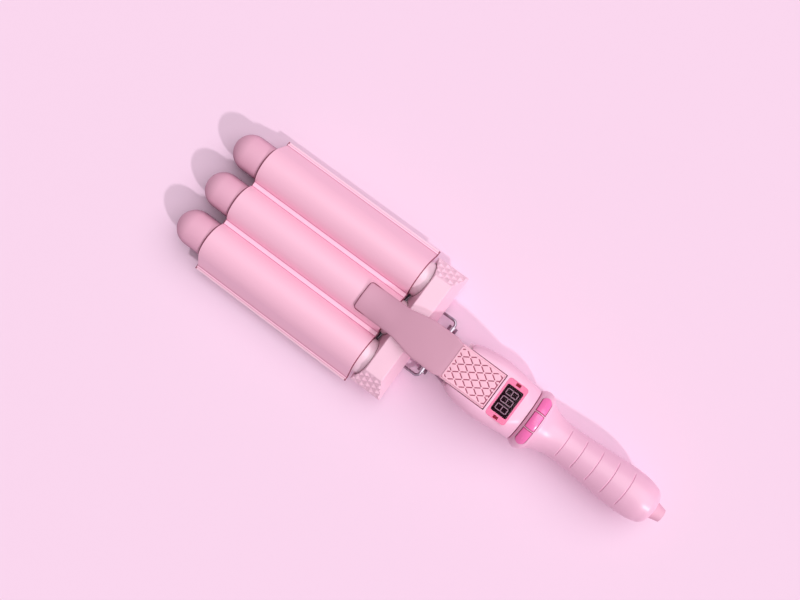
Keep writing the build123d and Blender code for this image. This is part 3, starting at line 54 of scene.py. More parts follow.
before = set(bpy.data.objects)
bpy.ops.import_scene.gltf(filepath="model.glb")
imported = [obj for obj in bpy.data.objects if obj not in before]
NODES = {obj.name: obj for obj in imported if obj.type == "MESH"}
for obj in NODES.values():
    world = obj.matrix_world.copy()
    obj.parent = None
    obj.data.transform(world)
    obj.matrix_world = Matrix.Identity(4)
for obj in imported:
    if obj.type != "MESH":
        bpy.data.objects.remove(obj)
CAD_BOX = [list(corner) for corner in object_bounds()]
MM = 0.001
SIDES = ("left", "middle", "right")


# ---- places read from the frame ----
def low_high(node):
    """The lowest and highest corner of a node, as arrays."""
    low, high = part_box(node)
    return np.array(low), np.array(high)


def axis_and_radius(node):
    """Centre and radius of a node that is turned about an axis along X."""
    low, high = low_high(node)
    return (low + high) / 2, (high[1] - low[1]) / 2


BARREL_CENTRE, BARREL_RADIUS = axis_and_radius("barrel_middle")
BARREL_PITCH = axis_and_radius("barrel_left")[0][1]
BARREL_LINES = (-BARREL_PITCH, 0.0, BARREL_PITCH)
AXIS_Z = BARREL_CENTRE[2]
RING_LOW, RING_HIGH = low_high("control_ring")
RING_MIDDLE_X = (RING_LOW[0] + RING_HIGH[0]) / 2
RING_RADIUS = (RING_HIGH[1] - RING_LOW[1]) / 2
HANDLE_AXIS = (0.0, 0.0, RING_LOW[2] + RING_RADIUS)
COVER_LOW, COVER_HIGH = low_high("jaw_cover")
PLATE_LOW, PLATE_HIGH = low_high("jaw_heat_plate")
BLOCK_LOW, BLOCK_HIGH = low_high("block_upper_shell")
BLOCK_LENGTH, _, BLOCK_TOP = BLOCK_HIGH - BLOCK_LOW
PAD_LOW, PAD_HIGH = low_high("thumb_pad")
LENS_LOW, LENS_HIGH = low_high("display_lens")
LEVER_LOW, LEVER_HIGH = low_high("lever")
PIVOT = sum(low_high("pivot_pin")) / 2


def linear(red, green, blue):
    """A display colour of 0 to 255 per channel as the linear values that a shader reads."""
    shown = np.array((red, green, blue)) / 255
    return tuple(np.where(shown <= 0.04045, shown / 12.92, ((shown + 0.055) / 1.055) ** 2.4))


# ---- settings a user would change ----
def length(name, description, millimetres):
    """A length setting, given in millimetres."""
    return bpy.props.FloatProperty(name=name, description=description, default=millimetres * MM, min=0.0,
                                   subtype="DISTANCE", unit="LENGTH", precision=5)


def colour(name, description, *shown):
    """A colour setting, given as it is shown."""
    return bpy.props.FloatVectorProperty(name=name, description=description, default=linear(*shown), size=3,
                                         min=0.0, max=1.0, subtype="COLOR")


class WaverSizes(bpy.types.PropertyGroup):
    """Sizes of the details that the finish adds to the frame."""
    valley_fillet: length("Valley fillet", "Easing where an arch meets the flat strip beside it", 1.1)
    sheet_edge: length("Sheet edge", "Rounding of the jaw sheets' cut edges", 0.2)
    block_edge: length("Block edge", "Easing of the barrel block's edges", 0.9)
    relief_depth: length("Relief depth", "Height of the diamonds on the block's ends", 1.8)
    relief_length: length("Relief length", "Length of one diamond on the block's ends", 9.4)
    relief_width: length("Relief width", "Width of one diamond on the block's ends", 8.0)
    quilt_length: length("Quilt length", "Length of one diamond on the thumb pad", 10.2)
    quilt_width: length("Quilt width", "Width of one diamond on the thumb pad", 6.8)
    quilt_slot: length("Quilt slot", "Width of the slots between the pad's diamonds", 0.75)
    quilt_depth: length("Quilt depth", "Depth of the slots between the pad's diamonds", 0.9)
    grip_groove: length("Grip groove", "Depth of the arcs across the handle", 0.55)
    digit_height: length("Digit height", "Height of one digit on the display", 9.4)
    digit_width: length("Digit width", "Width of one digit on the display", 4.5)
    digit_pitch: length("Digit pitch", "Distance from one digit to the next", 6.8)
    digit_stroke: length("Digit stroke", "Width of one segment of a digit", 0.62)


class WaverColours(bpy.types.PropertyGroup):
    """Colours of the finishes."""
    floor: colour("Floor", "Plain floor under the tool", 249, 213, 237)
    tip: colour("Cool tips", "Matt caps of the barrels", 232, 172, 197)
    # Painted shade: a deeper colour that the tips' flank mask mixes in where their sides turn away from the
    # light.
    tip_shade: colour("Tip flank", "Sides of the cool tips, a little deeper", 150, 92, 122)
    # Painted shade: a deeper colour that the cover's crease mask mixes in at the arches' feet and along the
    # sheet's side edges.
    crease: colour("Crease", "Folds and side edges of the jaw cover", 205, 112, 152)
    barrel: colour("Barrels", "Coating of the barrels", 253, 211, 229)
    arch: colour("Arches", "Coating of the jaw's cover", 250, 191, 215)
    # Painted highlight: a lighter colour that the cover's level mask mixes into its flat strips and flanges,
    # which face the light.
    strip: colour("Strips", "Flat strips between the arches", 252, 200, 222)
    plate: colour("Heat plate", "Coating of the jaw's inner sheet", 250, 205, 224)
    # Painted shade: a dark colour that the line masks mix in along the barrels' front lips, the heat plate's
    # ends, the block's hole lips and the lever's nose, where shadow falls between parts.
    line: colour("Seams", "Dark edges beside the seams", 138, 56, 84)
    block: colour("Block", "Faceted barrel block", 248, 199, 220)
    lever: colour("Lever", "Matt thumb lever", 219, 161, 185)
    pad: colour("Thumb pad", "Soft quilted pad", 247, 187, 208)
    slot: colour("Pad slots", "Shade in the thumb pad's slots", 172, 82, 112)
    body: colour("Body", "Body, control ring, handle and neck", 243, 185, 213)
    bezel: colour("Bezel", "Frame of the display", 244, 98, 154)
    button: colour("Buttons", "Push buttons", 253, 116, 186)
    # Painted shade: a darker colour that the keys' line mask mixes into their rolled rims.
    button_edge: colour("Button edges", "Rolled edges of the push buttons", 196, 62, 122)
    glass: colour("Display glass", "Smoked window of the display", 46, 14, 30)
    digit: colour("Digits", "Segments of the display", 206, 158, 184)


# ---- how finely the surfaces are divided ----
AROUND_STEPS = 128
FINE_STEPS, SECTION_STEPS = 6001, 420
BLOCK_ROWS, BLOCK_STEPS = 361, 90
LEVER_ROWS, LEVER_STEPS = 190, 34
PAD_ROWS, PAD_STEPS = 232, 168
HANDLE_ROWS, HANDLE_STEPS = 260, 121
BUTTON_STEPS = 40


# ---- grids and closed surfaces ----
WELD = 2e-6


def grid_quads(rows, columns, wrap=False):
    """Quads between neighbours of a grid; when it wraps, the last column joins the first."""
    row, column = np.meshgrid(np.arange(rows - 1), np.arange(columns if wrap else columns - 1), indexing="ij")
    beside = (column + 1) % columns
    corners = (row * columns + column, (row + 1) * columns + column, (row + 1) * columns + beside,
               row * columns + beside)
    return np.stack(corners, axis=-1).reshape(-1, 4)


def outward(points, quads):
    """The same quads, turned so that the volume they enclose is positive: the sum of a . (b x c) over
    triangles."""
    a, b, c, d = (points[quads[:, k]] for k in range(4))
    volume = np.einsum("ij,ij->", a, np.cross(b, c)) + np.einsum("ij,ij->", a, np.cross(c, d))
    return quads if volume > 0 else quads[:, ::-1]


def closed_grid(points):
    """A grid whose columns wrap round, and whose first and last rows are each a point, a line or flat."""
    flat = points.reshape(-1, 3)
    return flat, outward(flat, grid_quads(*points.shape[:2], wrap=True))


def walled(outer, inner):
    """Closed wall between two grids of one size: both skins, and a strip along their four borders."""
    rows, columns = outer.shape[:2]
    count = rows * columns
    skin = grid_quads(rows, columns)
    along_row = np.arange(columns)
    along_column = np.arange(1, rows - 1) * columns
    border = np.concatenate((along_row, along_column + columns - 1, along_row[::-1] + count - columns,
                             along_column[::-1]))
    after = np.roll(border, -1)
    strip = np.stack((border, after, after + count, border + count), axis=-1)
    points = np.concatenate((outer.reshape(-1, 3), inner.reshape(-1, 3)))
    return points, outward(points, np.concatenate((skin, skin[:, ::-1] + count, strip)))


def joined(*surfaces):
    """Several closed surfaces as one list of points and one of quads."""
    starts = np.cumsum([0] + [len(points) for points, _ in surfaces])
    quads = [part + start for (_, part), start in zip(surfaces, starts)]
    return np.concatenate([points for points, _ in surfaces]), np.concatenate(quads)


def about_axis(x, angle, radius, centre):
    """Points about an axis along X, at an angle a from its top: y = centre + r sin(a) and
    z = centre + r cos(a)."""
    y = centre[1] + radius * np.sin(angle)
    z = centre[2] + radius * np.cos(angle)
    return np.stack(np.broadcast_arrays(x, y, z), axis=-1)


def rounded_path(corners, radius, steps=5):
    """An open path with each inner corner eased: between points at `radius` before and after the corner
    it follows the parabola whose middle control point is the corner."""
    corners = np.asarray(corners, float)
    path = [corners[:1]]
    t = np.linspace(0, 1, steps)[:, None]
    for before, corner, after in zip(corners[:-2], corners[1:-1], corners[2:]):
        run_in = before - corner
        run_out = after - corner
        reach = min(radius, np.linalg.norm(run_in) / 2, np.linalg.norm(run_out) / 2)
        start = corner + run_in / np.linalg.norm(run_in) * reach
        end = corner + run_out / np.linalg.norm(run_out) * reach
        path.append((1 - t) ** 2 * start + 2 * t * (1 - t) * corner + t ** 2 * end)
    path.append(corners[-1:])
    return np.concatenate(path)


def revolved(profile, centre):
    """A profile of (x, radius) turned all the way about the axis along X through a centre."""
    angle = np.linspace(0, 2 * pi, AROUND_STEPS, endpoint=False)
    x, radius = np.asarray(profile, float).T[:, :, None]
    return closed_grid(about_axis(x, angle, radius, centre))


def smooth_curve(x, knots):
    """A curve through (x, y) knots: cubic Hermite pieces, with the slopes of the parabolas through each knot
    and its two neighbours."""
    at, value = np.asarray(knots, float).T
    slope = np.gradient(value, at)
    k = np.clip(np.searchsorted(at, x) - 1, 0, len(at) - 2)
    span = at[k + 1] - at[k]
    t = (x - at[k]) / span
    return ((2 * t ** 3 - 3 * t ** 2 + 1) * value[k] + (t ** 3 - 2 * t ** 2 + t) * span * slope[k]
            + (3 * t ** 2 - 2 * t ** 3) * value[k + 1] + (t ** 3 - t ** 2) * span * slope[k + 1])


def smooth_max(a, b, ease):
    """The greater of two heights, with a parabola over the kink where they differ by less than ease."""
    near = np.clip(ease - np.abs(a - b), 0, None) / ease
    return np.maximum(a, b) + ease * near ** 2 / 4


def smooth_min(a, b, ease):
    """The lesser of two heights, eased in the same way."""
    return -smooth_max(-a, -b, ease)


def fade(value, start, end):
    """0 before start and 1 after end, with a smooth step between."""
    t = np.clip((value - start) / (end - start), 0, 1)
    return t * t * (3 - 2 * t)


def drawn_in(distance, radius):
    """How far a rolled edge draws a surface in at a distance d from its border: r - sqrt(r^2 - (r - d)^2)."""
    inside = np.clip(radius - distance, 0, radius)
    return radius - np.sqrt(radius ** 2 - inside ** 2)


# ---- shader groups ----
def new_group(name, inputs, outputs):
    """An empty shader group, its input node and its output node. Each socket has the type of its default."""
    group = bpy.data.node_groups.new(name, "ShaderNodeTree")
    for side, sockets in (("INPUT", inputs), ("OUTPUT", outputs)):
        for label, default in sockets.items():
            kind = "NodeSocketColor" if isinstance(default, tuple) else "NodeSocketFloat"
            socket = group.interface.new_socket(name=label, in_out=side, socket_type=kind)
            socket.default_value = default
    return group, group.nodes.new("NodeGroupInput"), group.nodes.new("NodeGroupOutput")


def math_node(group, operation, first, second):
    """A math node fed by sockets or plain numbers; returns its output."""
    node = group.nodes.new("ShaderNodeMath")
    node.operation = operation
    for socket, value in zip(node.inputs, (first, second)):
        if isinstance(value, (int, float)):
            socket.default_value = value
        else:
            group.links.new(value, socket)
    return node.outputs[0]


def colour_mix(tree, share, plain, other):
    """A node that mixes two colours, each a socket or the colour itself; returns its result."""
    mix = tree.nodes.new("ShaderNodeMix")
    mix.data_type = "RGBA"
    tree.links.new(share, mix.inputs["Factor"])
    for label, shade in (("A", plain), ("B", other)):
        if isinstance(shade, tuple):
            mix.inputs[label].default_value = shade
        else:
            tree.links.new(shade, mix.inputs[label])
    return mix.outputs["Result"]


def noise_node(group, scale, detail=3.0, stretch=(1.0, 1.0, 1.0)):
    """Noise over the object's own coordinates, stretched along the axes; returns its value."""
    place = group.nodes.new("ShaderNodeTexCoord")
    mapping = group.nodes.new("ShaderNodeMapping")
    mapping.inputs["Scale"].default_value = stretch
    noise = group.nodes.new("ShaderNodeTexNoise")
    noise.inputs["Detail"].default_value = detail
    group.links.new(place.outputs["Object"], mapping.inputs["Vector"])
    group.links.new(mapping.outputs["Vector"], noise.inputs["Vector"])
    group.links.new(scale, noise.inputs["Scale"])
    return noise.outputs["Fac"]


def made_once(build):
    """The shader group of the builder's own name, built when it is first asked for."""
    def found_or_built():
        return bpy.data.node_groups.get(build.__name__) or build(build.__name__)
    return found_or_built


def drift_roughness(group, inputs, outputs, value):
    """Gives a group a roughness that drifts about its own with a value about one half."""
    centred = math_node(group, "SUBTRACT", value, 0.5)
    spread = math_node(group, "MULTIPLY", centred, inputs.outputs["Roughness Drift"])
    rough = math_node(group, "ADD", inputs.outputs["Roughness"], spread)
    group.links.new(rough, outputs.inputs["Roughness"])


@made_once
def moulded_grain(name):
    """Fine grain of a moulded or coated skin: a height for bump, and a roughness that drifts."""
    sockets = {"Grain Scale": 2500.0, "Roughness": 0.4, "Roughness Drift": 0.06, "Drift Scale": 40.0}
    group, inputs, outputs = new_group(name, sockets, {"Height": 0.0, "Roughness": 0.0})
    grain = noise_node(group, inputs.outputs["Grain Scale"])
    group.links.new(grain, outputs.inputs["Height"])
    drift_roughness(group, inputs, outputs, noise_node(group, inputs.outputs["Drift Scale"]))
    return group


@made_once
def brushed_lines(name):
    """Drawn or ground metal: long fine lines along X, as a height and a roughness."""
    sockets = {"Line Scale": 900.0, "Roughness": 0.3, "Roughness Drift": 0.15}
    group, inputs, outputs = new_group(name, sockets, {"Height": 0.0, "Roughness": 0.0})
    lines = noise_node(group, inputs.outputs["Line Scale"], detail=2.0, stretch=(0.03, 1.0, 1.0))
    group.links.new(lines, outputs.inputs["Height"])
    drift_roughness(group, inputs, outputs, lines)
    return group


@made_once
def colour_drift(name):
    """A colour that wanders a little towards a second one, in soft clouds."""
    sockets = {"Colour": (0.5, 0.5, 0.5, 1.0), "Shade": (0.4, 0.4, 0.4, 1.0), "Amount": 0.3, "Scale": 30.0}
    group, inputs, outputs = new_group(name, sockets, {"Colour": (0.0, 0.0, 0.0, 1.0)})
    cloud = noise_node(group, inputs.outputs["Scale"])
    amount = math_node(group, "MULTIPLY", cloud, inputs.outputs["Amount"])
    mixed = colour_mix(group, amount, inputs.outputs["Colour"], inputs.outputs["Shade"])
    group.links.new(mixed, outputs.inputs["Colour"])
    return group


def shaded(shade, share=0.86):
    """A colour a little deeper than the one given, for a colour that drifts."""
    return tuple(channel * share for channel in shade)


def place_group(material, group, values):
    """A group node in a material, with its inputs set by name."""
    node = material.node_tree.nodes.new("ShaderNodeGroup")
    node.node_tree = group
    for label, value in values.items():
        node.inputs[label].default_value = (*value, 1.0) if isinstance(value, tuple) else value
    return node


def new_material(name, base, deeper, drift, texture, texture_values, bump, **sockets):
    """A Principled material: drifting colour, and a group that gives roughness and the height of a fine bump.
    Numbers that are the same all over go straight onto the shader's own sockets."""
    material = bpy.data.materials.new(name)
    material.use_nodes = True
    tree = material.node_tree
    shader = tree.nodes["Principled BSDF"]
    tint = place_group(material, colour_drift(), {"Colour": tuple(base), "Shade": tuple(deeper),
                                                  "Amount": drift, "Scale": 35.0})
    grain = place_group(material, texture, texture_values)
    relief = tree.nodes.new("ShaderNodeBump")
    relief.inputs["Strength"].default_value = bump
    relief.inputs["Distance"].default_value = 0.1 * MM
    tree.links.new(tint.outputs["Colour"], shader.inputs["Base Color"])
    tree.links.new(grain.outputs["Roughness"], shader.inputs["Roughness"])
    tree.links.new(grain.outputs["Height"], relief.inputs["Height"])
    tree.links.new(relief.outputs["Normal"], shader.inputs["Normal"])
    for label, value in sockets.items():
        shader.inputs[label.replace("_", " ")].default_value = value
    return material


def moulded(name, base, roughness, grain=2200.0, bump=0.15, drift=0.25, **sockets):
    """Moulded plastic, rubber or a baked coating."""
    values = {"Grain Scale": grain, "Roughness": roughness, "Roughness Drift": 0.08, "Drift Scale": 45.0}
    return new_material(name, base, shaded(base), drift, moulded_grain(), values, bump, **sockets)


def metal(name, base, roughness, bump=0.1):
    """Bare or plated metal with fine lines."""
    values = {"Line Scale": 900.0, "Roughness": roughness, "Roughness Drift": 0.12}
    return new_material(name, base, shaded(base, 0.8), 0.3, brushed_lines(), values, bump, Metallic=1.0)


def mixed_by_mask(material, shade, label):
    """Mixes another colour into a material by one of the piece's own masks."""
    tree = material.node_tree
    colour_in = tree.nodes["Principled BSDF"].inputs["Base Color"]
    plain = colour_in.links[0].from_socket
    mask = tree.nodes.new("ShaderNodeAttribute")
    mask.name = label
    mask.attribute_name = label
    tree.links.new(colour_mix(tree, mask.outputs["Fac"], plain, (*shade, 1.0)), colour_in)


# ---- finishes of this tool ----
# name: kind, colour (a setting or what is shown), roughness, values of the kind or of the shader's sockets,
# and the colour settings that the pieces' masks mix in
# Some masks mix in painted light: a highlight on the jaw's flat parts, and painted shade on the tips' sides,
# the jaw's folds and edges, the seam lines, the hole lips, the lever's nose and the keys' rims.
FINISHES = {
    "tip_matt": (moulded, "tip", 0.62, {"grain": 1800.0, "bump": 0.3}, {"flank": "tip_shade"}),
    "barrel_satin": (moulded, "barrel", 0.3,
                     {"grain": 4000.0, "bump": 0.05, "Coat_Weight": 0.3, "Coat_Roughness": 0.2},
                     {"line": "line"}),
    # The arch finish mixes in a painted highlight on the flat parts and painted shade in the folds and at the
    # side edges.
    "arch_satin": (moulded, "arch", 0.42,
                   {"grain": 4500.0, "bump": 0.05, "drift": 0.12, "Coat_Weight": 0.4, "Coat_Roughness": 0.42},
                   {"level": "strip", "fold": "crease"}),
    "plate_satin": (moulded, "plate", 0.42, {"grain": 4500.0, "bump": 0.05, "drift": 0.15}, {"line": "line"}),
    "block_satin": (moulded, "block", 0.42,
                    {"grain": 2600.0, "bump": 0.1, "drift": 0.2, "Coat_Weight": 0.5, "Coat_Roughness": 0.14},
                    {"line": "line"}),
    "lever_matt": (moulded, "lever", 0.55, {"grain": 2000.0, "bump": 0.25}, {"rim": "pad", "line": "line"}),
    "pad_soft": (moulded, "pad", 0.5, {"grain": 3000.0, "bump": 0.3, "drift": 0.2}, {"slots": "slot"}),
    "body_satin": (moulded, "body", 0.36,
                   {"grain": 2800.0, "bump": 0.08, "drift": 0.2, "Coat_Weight": 0.15, "Coat_Roughness": 0.3},
                   {}),
    "bezel_gloss": (moulded, "bezel", 0.22,
                    {"grain": 3500.0, "bump": 0.03, "Coat_Weight": 0.4, "Coat_Roughness": 0.08}, {}),
    "button_gloss": (moulded, "button", 0.3,
                     {"grain": 3500.0, "bump": 0.04, "drift": 0.35, "Coat_Weight": 0.3,
                      "Coat_Roughness": 0.15},
                     {"line": "button_edge"}),
    "smoked_glass": (moulded, "glass", 0.1,
                     {"grain": 4000.0, "bump": 0.01, "Alpha": 0.35, "Specular_IOR_Level": 0.16}, {}),
    "digit_lit": (moulded, "digit", 0.4, {"bump": 0.02, "Emission_Strength": 0.25}, {}),
    "display_back": (moulded, (44, 10, 28), 0.5, {"bump": 0.02, "Specular_IOR_Level": 0.1}, {}),
    "indicator_red": (moulded, (138, 8, 40), 0.4, {"bump": 0.02, "Specular_IOR_Level": 0.15}, {}),
    "mark_light": (moulded, (252, 130, 190), 0.35, {"bump": 0.02}, {}),
    # Painted shade: the jaw arm, bushes and bracket are coloured dark rose so that they read as the shaded
    # gaps beside the lever and the block.
    "arm_enamel": (moulded, (128, 70, 92), 0.4, {}, {}),
    "bush_rose": (moulded, (120, 62, 82), 0.5, {}, {}),
    "bracket_enamel": (moulded, (118, 58, 80), 0.45, {}, {}),
    "tube_rose": (moulded, (196, 132, 160), 0.5, {}, {}),
    "white_ceramic": (moulded, (226, 222, 214), 0.6, {}, {}),
    "part_moulding": (moulded, (38, 38, 42), 0.45, {}, {}),
    "board_green": (moulded, (24, 96, 58), 0.4, {"bump": 0.05}, {}),
    "woven_sleeve": (moulded, (214, 208, 200), 0.6, {}, {}),
    "chrome_bright": (metal, (158, 152, 160), 0.12, {"bump": 0.02}, {}),
    "steel_plain": (metal, (165, 162, 168), 0.32, {}, {}),
    "screw_zinc": (metal, (140, 138, 145), 0.38, {}, {}),
    "drawn_aluminium": (metal, (205, 206, 210), 0.35, {}, {}),
}


def finish(name):
    """The finish of this name, made when it is first asked for."""
    found = bpy.data.materials.get(name)
    if found:
        return found
    colours = bpy.context.scene.waver_colours
    kind, shade, roughness, values, mixed = FINISHES[name]
    base = getattr(colours, shade) if isinstance(shade, str) else linear(*shade)
    if "Emission_Strength" in values:
        values = {**values, "Emission_Color": (*base, 1.0)}
    material = kind(name, base, roughness, **values)
    for label, setting in mixed.items():
        mixed_by_mask(material, getattr(colours, setting), label)
    return material


def dress(name, *nodes):
    """Gives CAD nodes, whose shape is kept, a finish of the scene."""
    for node in nodes:
        for slot in NODES[node].material_slots:
            slot.material = finish(name)


# ---- pieces made here ----
def add_piece(name, surface, body, skin, stands_for=(), crease=40.0, masks=None):
    """Makes a mesh object from points and quads, welds its poles and rides it on its body. Each mask holds
    a number for each point, by which the finish mixes in another colour."""
    points, quads = surface
    mesh = bpy.data.meshes.new(name)
    mesh.from_pydata(points.tolist(), [], quads.tolist())
    for label, values in (masks or {}).items():
        mesh.attributes.new(label, "FLOAT", "POINT").data.foreach_set("value", values.astype(np.float32))
    welded = bmesh.new()
    welded.from_mesh(mesh)
    bmesh.ops.remove_doubles(welded, verts=welded.verts, dist=WELD)
    bmesh.ops.dissolve_degenerate(welded, edges=welded.edges, dist=WELD)
    welded.to_mesh(mesh)
    welded.free()
    mesh.shade_smooth()
    mesh.set_sharp_from_angle(angle=radians(crease))
    mesh.materials.append(finish(skin))
    piece = bpy.data.objects.new(name, mesh)
    bpy.context.scene.collection.objects.link(piece)
    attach(piece, body)
    if stands_for:
        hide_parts(*stands_for)


# ---- cool tips and barrels ----
class WAVER_OT_cool_tips(bpy.types.Operator):
    """Domed matt caps: a quarter circle, a straight skirt with a rounded rim, and a spigot in the barrel"""
    bl_idname = "waver.cool_tips"
    bl_label = "Cool tips"

    def execute(self, context):
        rim = 0.5 * MM
        spigot_inset = 1.1 * MM
        painted_shade_share = 0.95
        flank_height = 0.7
        around = np.linspace(0, pi / 2, 48)
        for side in SIDES:
            name = "cool_tip_" + side
            low, high = low_high(name)
            centre, radius = axis_and_radius(name)
            spigot = radius - spigot_inset
            skirt_end = low_high("barrel_" + side)[0][0]
            dome = np.stack((low[0] + radius - radius * np.cos(around), radius * np.sin(around)), axis=-1)
            skirt = rounded_path(((low[0] + radius, radius), (skirt_end, radius), (skirt_end, spigot),
                                  (high[0], spigot), (high[0], 0.0)), rim)
            surface = revolved(np.concatenate((dome, skirt[1:])), centre)
            # The flank mask paints shade on the tips: darker as the surface turns from facing up to facing
            # sideways.
            height = (surface[0][:, 2] - centre[2]) / radius
            flank = painted_shade_share * (1 - fade(height, 0.0, flank_height))
            add_piece("dressed_" + name, surface, "handle_unit", "tip_matt", (name,),
                      masks={"flank": flank})
        return {"FINISHED"}


class WAVER_OT_barrels(bpy.types.Operator):
    """Coated tubes with rolled lips: a closed loop of (x, radius) turned about each barrel's axis"""
    bl_idname = "waver.barrels"
    bl_label = "Barrels"

    def execute(self, context):
        wall = 1.4 * MM
        lip = 0.4 * MM
        shade_line_end = 1.0 * MM
        shade_line_gone = 1.3 * MM
        for side in SIDES:
            name = "barrel_" + side
            low, high = low_high(name)
            centre, radius = axis_and_radius(name)
            bore = radius - wall
            start = (low[0] + 3 * lip, radius)
            profile = rounded_path((start, (high[0], radius), (high[0], bore), (low[0], bore),
                                    (low[0], radius), start), lip)
            surface = revolved(profile, centre)
            # Painted shade: the line mask darkens the barrel's front lip, a dark seam where it meets the cool
            # tip.
            line = 1 - fade(surface[0][:, 0] - low[0], shade_line_end, shade_line_gone)
            add_piece("dressed_" + name, surface, "handle_unit", "barrel_satin", (name,),
                      masks={"line": line})
        return {"FINISHED"}


# ---- jaw sheets ----
ARCH_TANGENT = radians(62.0)
CREASE_SHADE_SHARE = 0.9


def arch_height(y, radius, strip, flange, ease):
    """Height of a sheet over the barrels at y, from their axes: the greatest of the flat parts and the three
    circles. Outside the last circles it follows the line that leaves them at the tangent angle."""
    height = np.where(np.abs(y) < BARREL_PITCH, strip, flange)
    leaves = radius * np.sin(ARCH_TANGENT)
    out_of_reach = 20 * MM
    for centre in BARREL_LINES:
        away = np.abs(y - centre)
        circle = np.sqrt(np.clip(radius ** 2 - away ** 2, 0, None)) - out_of_reach * (away >= radius)
        line = radius * np.cos(ARCH_TANGENT) - (away - leaves) * np.tan(ARCH_TANGENT)
        outside = (np.abs(y) > BARREL_PITCH) & (away > leaves) & (centre * y > 0)
        height = smooth_max(height, np.where(outside, line, circle), ease)
    return height


def sheet_section(radius, strip, flange, half_width, ease):
    """Evenly spaced points (y, z) along the sheet's section and the normal at each."""
    fine = np.linspace(-half_width, half_width, FINE_STEPS)
    height = arch_height(fine, radius, strip, flange, ease)
    run = np.concatenate(((0.0,), np.cumsum(np.hypot(np.diff(fine), np.diff(height)))))
    even = np.linspace(0, run[-1], SECTION_STEPS)
    y = np.interp(even, run, fine)
    z = np.interp(even, run, height)
    along = np.stack((np.gradient(y, even), np.gradient(z, even)), axis=-1)
    along /= np.linalg.norm(along, axis=1)[:, None]
    return y, z, -along[:, 1], along[:, 0]


def sheet_masks(y, z, from_side, radius, strip, flange):
    """Along the section: a painted highlight on the flat parts, and painted shade on the lines where they
    meet the arches or end at the sides.
    """
    between = np.abs(y) < BARREL_PITCH
    step = np.where(between, strip, flange)
    highlight_end = 0.05 * MM
    highlight_gone = 0.8 * MM
    # Painted highlight: the level mask is 1 on the flat strips and flanges, which face the light, and fades
    # out up the arches.
    level = 1 - fade(z, step + highlight_end, step + highlight_gone)
    away = np.min(np.abs(y[None, :] - np.array(BARREL_LINES)[:, None]), axis=0)
    strip_foot = np.sqrt(radius ** 2 - strip ** 2)
    drop = radius * np.cos(ARCH_TANGENT) - flange
    flange_foot = radius * np.sin(ARCH_TANGENT) + drop / np.tan(ARCH_TANGENT)
    from_foot = np.abs(away - np.where(between, strip_foot, flange_foot))
    foot_fades = (0.1 * MM, 0.5 * MM)
    side_fades = (0.2 * MM, 0.45 * MM)
    # Painted shade in the folds where the arches meet the flat parts, and along the sheet's side edges where
    # it lies over the heat plate.
    at_foot = 1 - fade(from_foot, *foot_fades)
    at_side = 1 - fade(from_side, *side_fades)
    return {"level": level, "fold": np.maximum(at_foot, at_side) * CREASE_SHADE_SHARE}


def bent_sheet(x0, x1, radius, thickness, strip, flange, half_width, sizes):
    """A sheet that follows the section along X, drawn in to a rounded edge at all four borders, and its
    masks."""
    y, z, normal_y, normal_z = sheet_section(radius, strip, flange, half_width, sizes.valley_fillet)
    edge = sizes.sheet_edge
    near = edge * (1 - np.cos(np.linspace(0, pi / 2, 6)))
    seam = np.array((0.7, 1.1, 1.4)) * MM
    inner = np.linspace(x0 + 2 * MM, x1 - 2 * MM, 30)
    x = np.concatenate((x0 + near, x0 + seam, inner, x1 - seam[::-1], x1 - near[::-1]))[:, None]
    from_side = half_width - np.abs(y)
    inset = np.maximum(drawn_in(np.minimum(x - x0, x1 - x), edge), drawn_in(from_side, edge))
    skins = [np.stack((x + 0 * depth, y - normal_y * depth, AXIS_Z + z - normal_z * depth), axis=-1)
             for depth in (inset, thickness - inset)]
    masks = {label: np.tile(values, 2 * len(x))
             for label, values in sheet_masks(y, z, from_side, radius, strip, flange).items()}
    return walled(*skins), masks


class WAVER_OT_jaw(bpy.types.Operator):
    """Two nested sheets bent over the three barrels, the cover and the heat plate under it"""
    bl_idname = "waver.jaw"
    bl_label = "Arched jaw"

    def execute(self, context):
        sizes = context.scene.waver_sizes
        cover = 0.9 * MM
        plate = 0.8 * MM
        strip = 5.9 * MM
        set_back = 0.8 * MM
        shade_line_end = 1.1 * MM
        shade_line_gone = 1.4 * MM
        surface, masks = bent_sheet(COVER_LOW[0] + set_back, COVER_HIGH[0] - set_back, COVER_HIGH[2] - AXIS_Z,
                                    cover, strip, COVER_LOW[2] + cover - AXIS_Z, COVER_HIGH[1], sizes)
        # The cover's masks paint a highlight on its flat parts and shade in its folds and along its side
        # edges.
        add_piece("dressed_cover", surface, "clamp", "arch_satin", ("jaw_cover",),
                  masks=masks)
        surface, _ = bent_sheet(PLATE_LOW[0], PLATE_HIGH[0], PLATE_HIGH[2] - AXIS_Z, plate, strip - cover,
                                PLATE_LOW[2] + plate - AXIS_Z, PLATE_HIGH[1], sizes)
        # Painted shade: the line mask darkens both ends of the heat plate, a dark seam at the jaw's front and
        # rear edges.
        x = surface[0][:, 0]
        line = 1 - fade(np.minimum(x - PLATE_LOW[0], PLATE_HIGH[0] - x), shade_line_end, shade_line_gone)
        add_piece("dressed_heat_plate", surface, "clamp", "plate_satin", ("jaw_heat_plate",),
                  masks={"line": line})
        # The jaw arm's dark rose colour stands in for the shade in the gap beside the lever.
        dress("arm_enamel", "jaw_arm")
        dress("steel_plain", "clamp_spring")
        dress("screw_zinc", "jaw_rivets", "lever_screws")
        return {"FINISHED"}


# ---- barrel block ----
FRONT_RAKE = 7.4 * MM
REAR_RAKE = 6.2 * MM
END_RAKE = 14.4 * MM
END_LEAN = sqrt(BLOCK_TOP ** 2 + END_RAKE ** 2)
RELIEF_BASE = 0.2
HOLE_GAP = 0.65 * MM


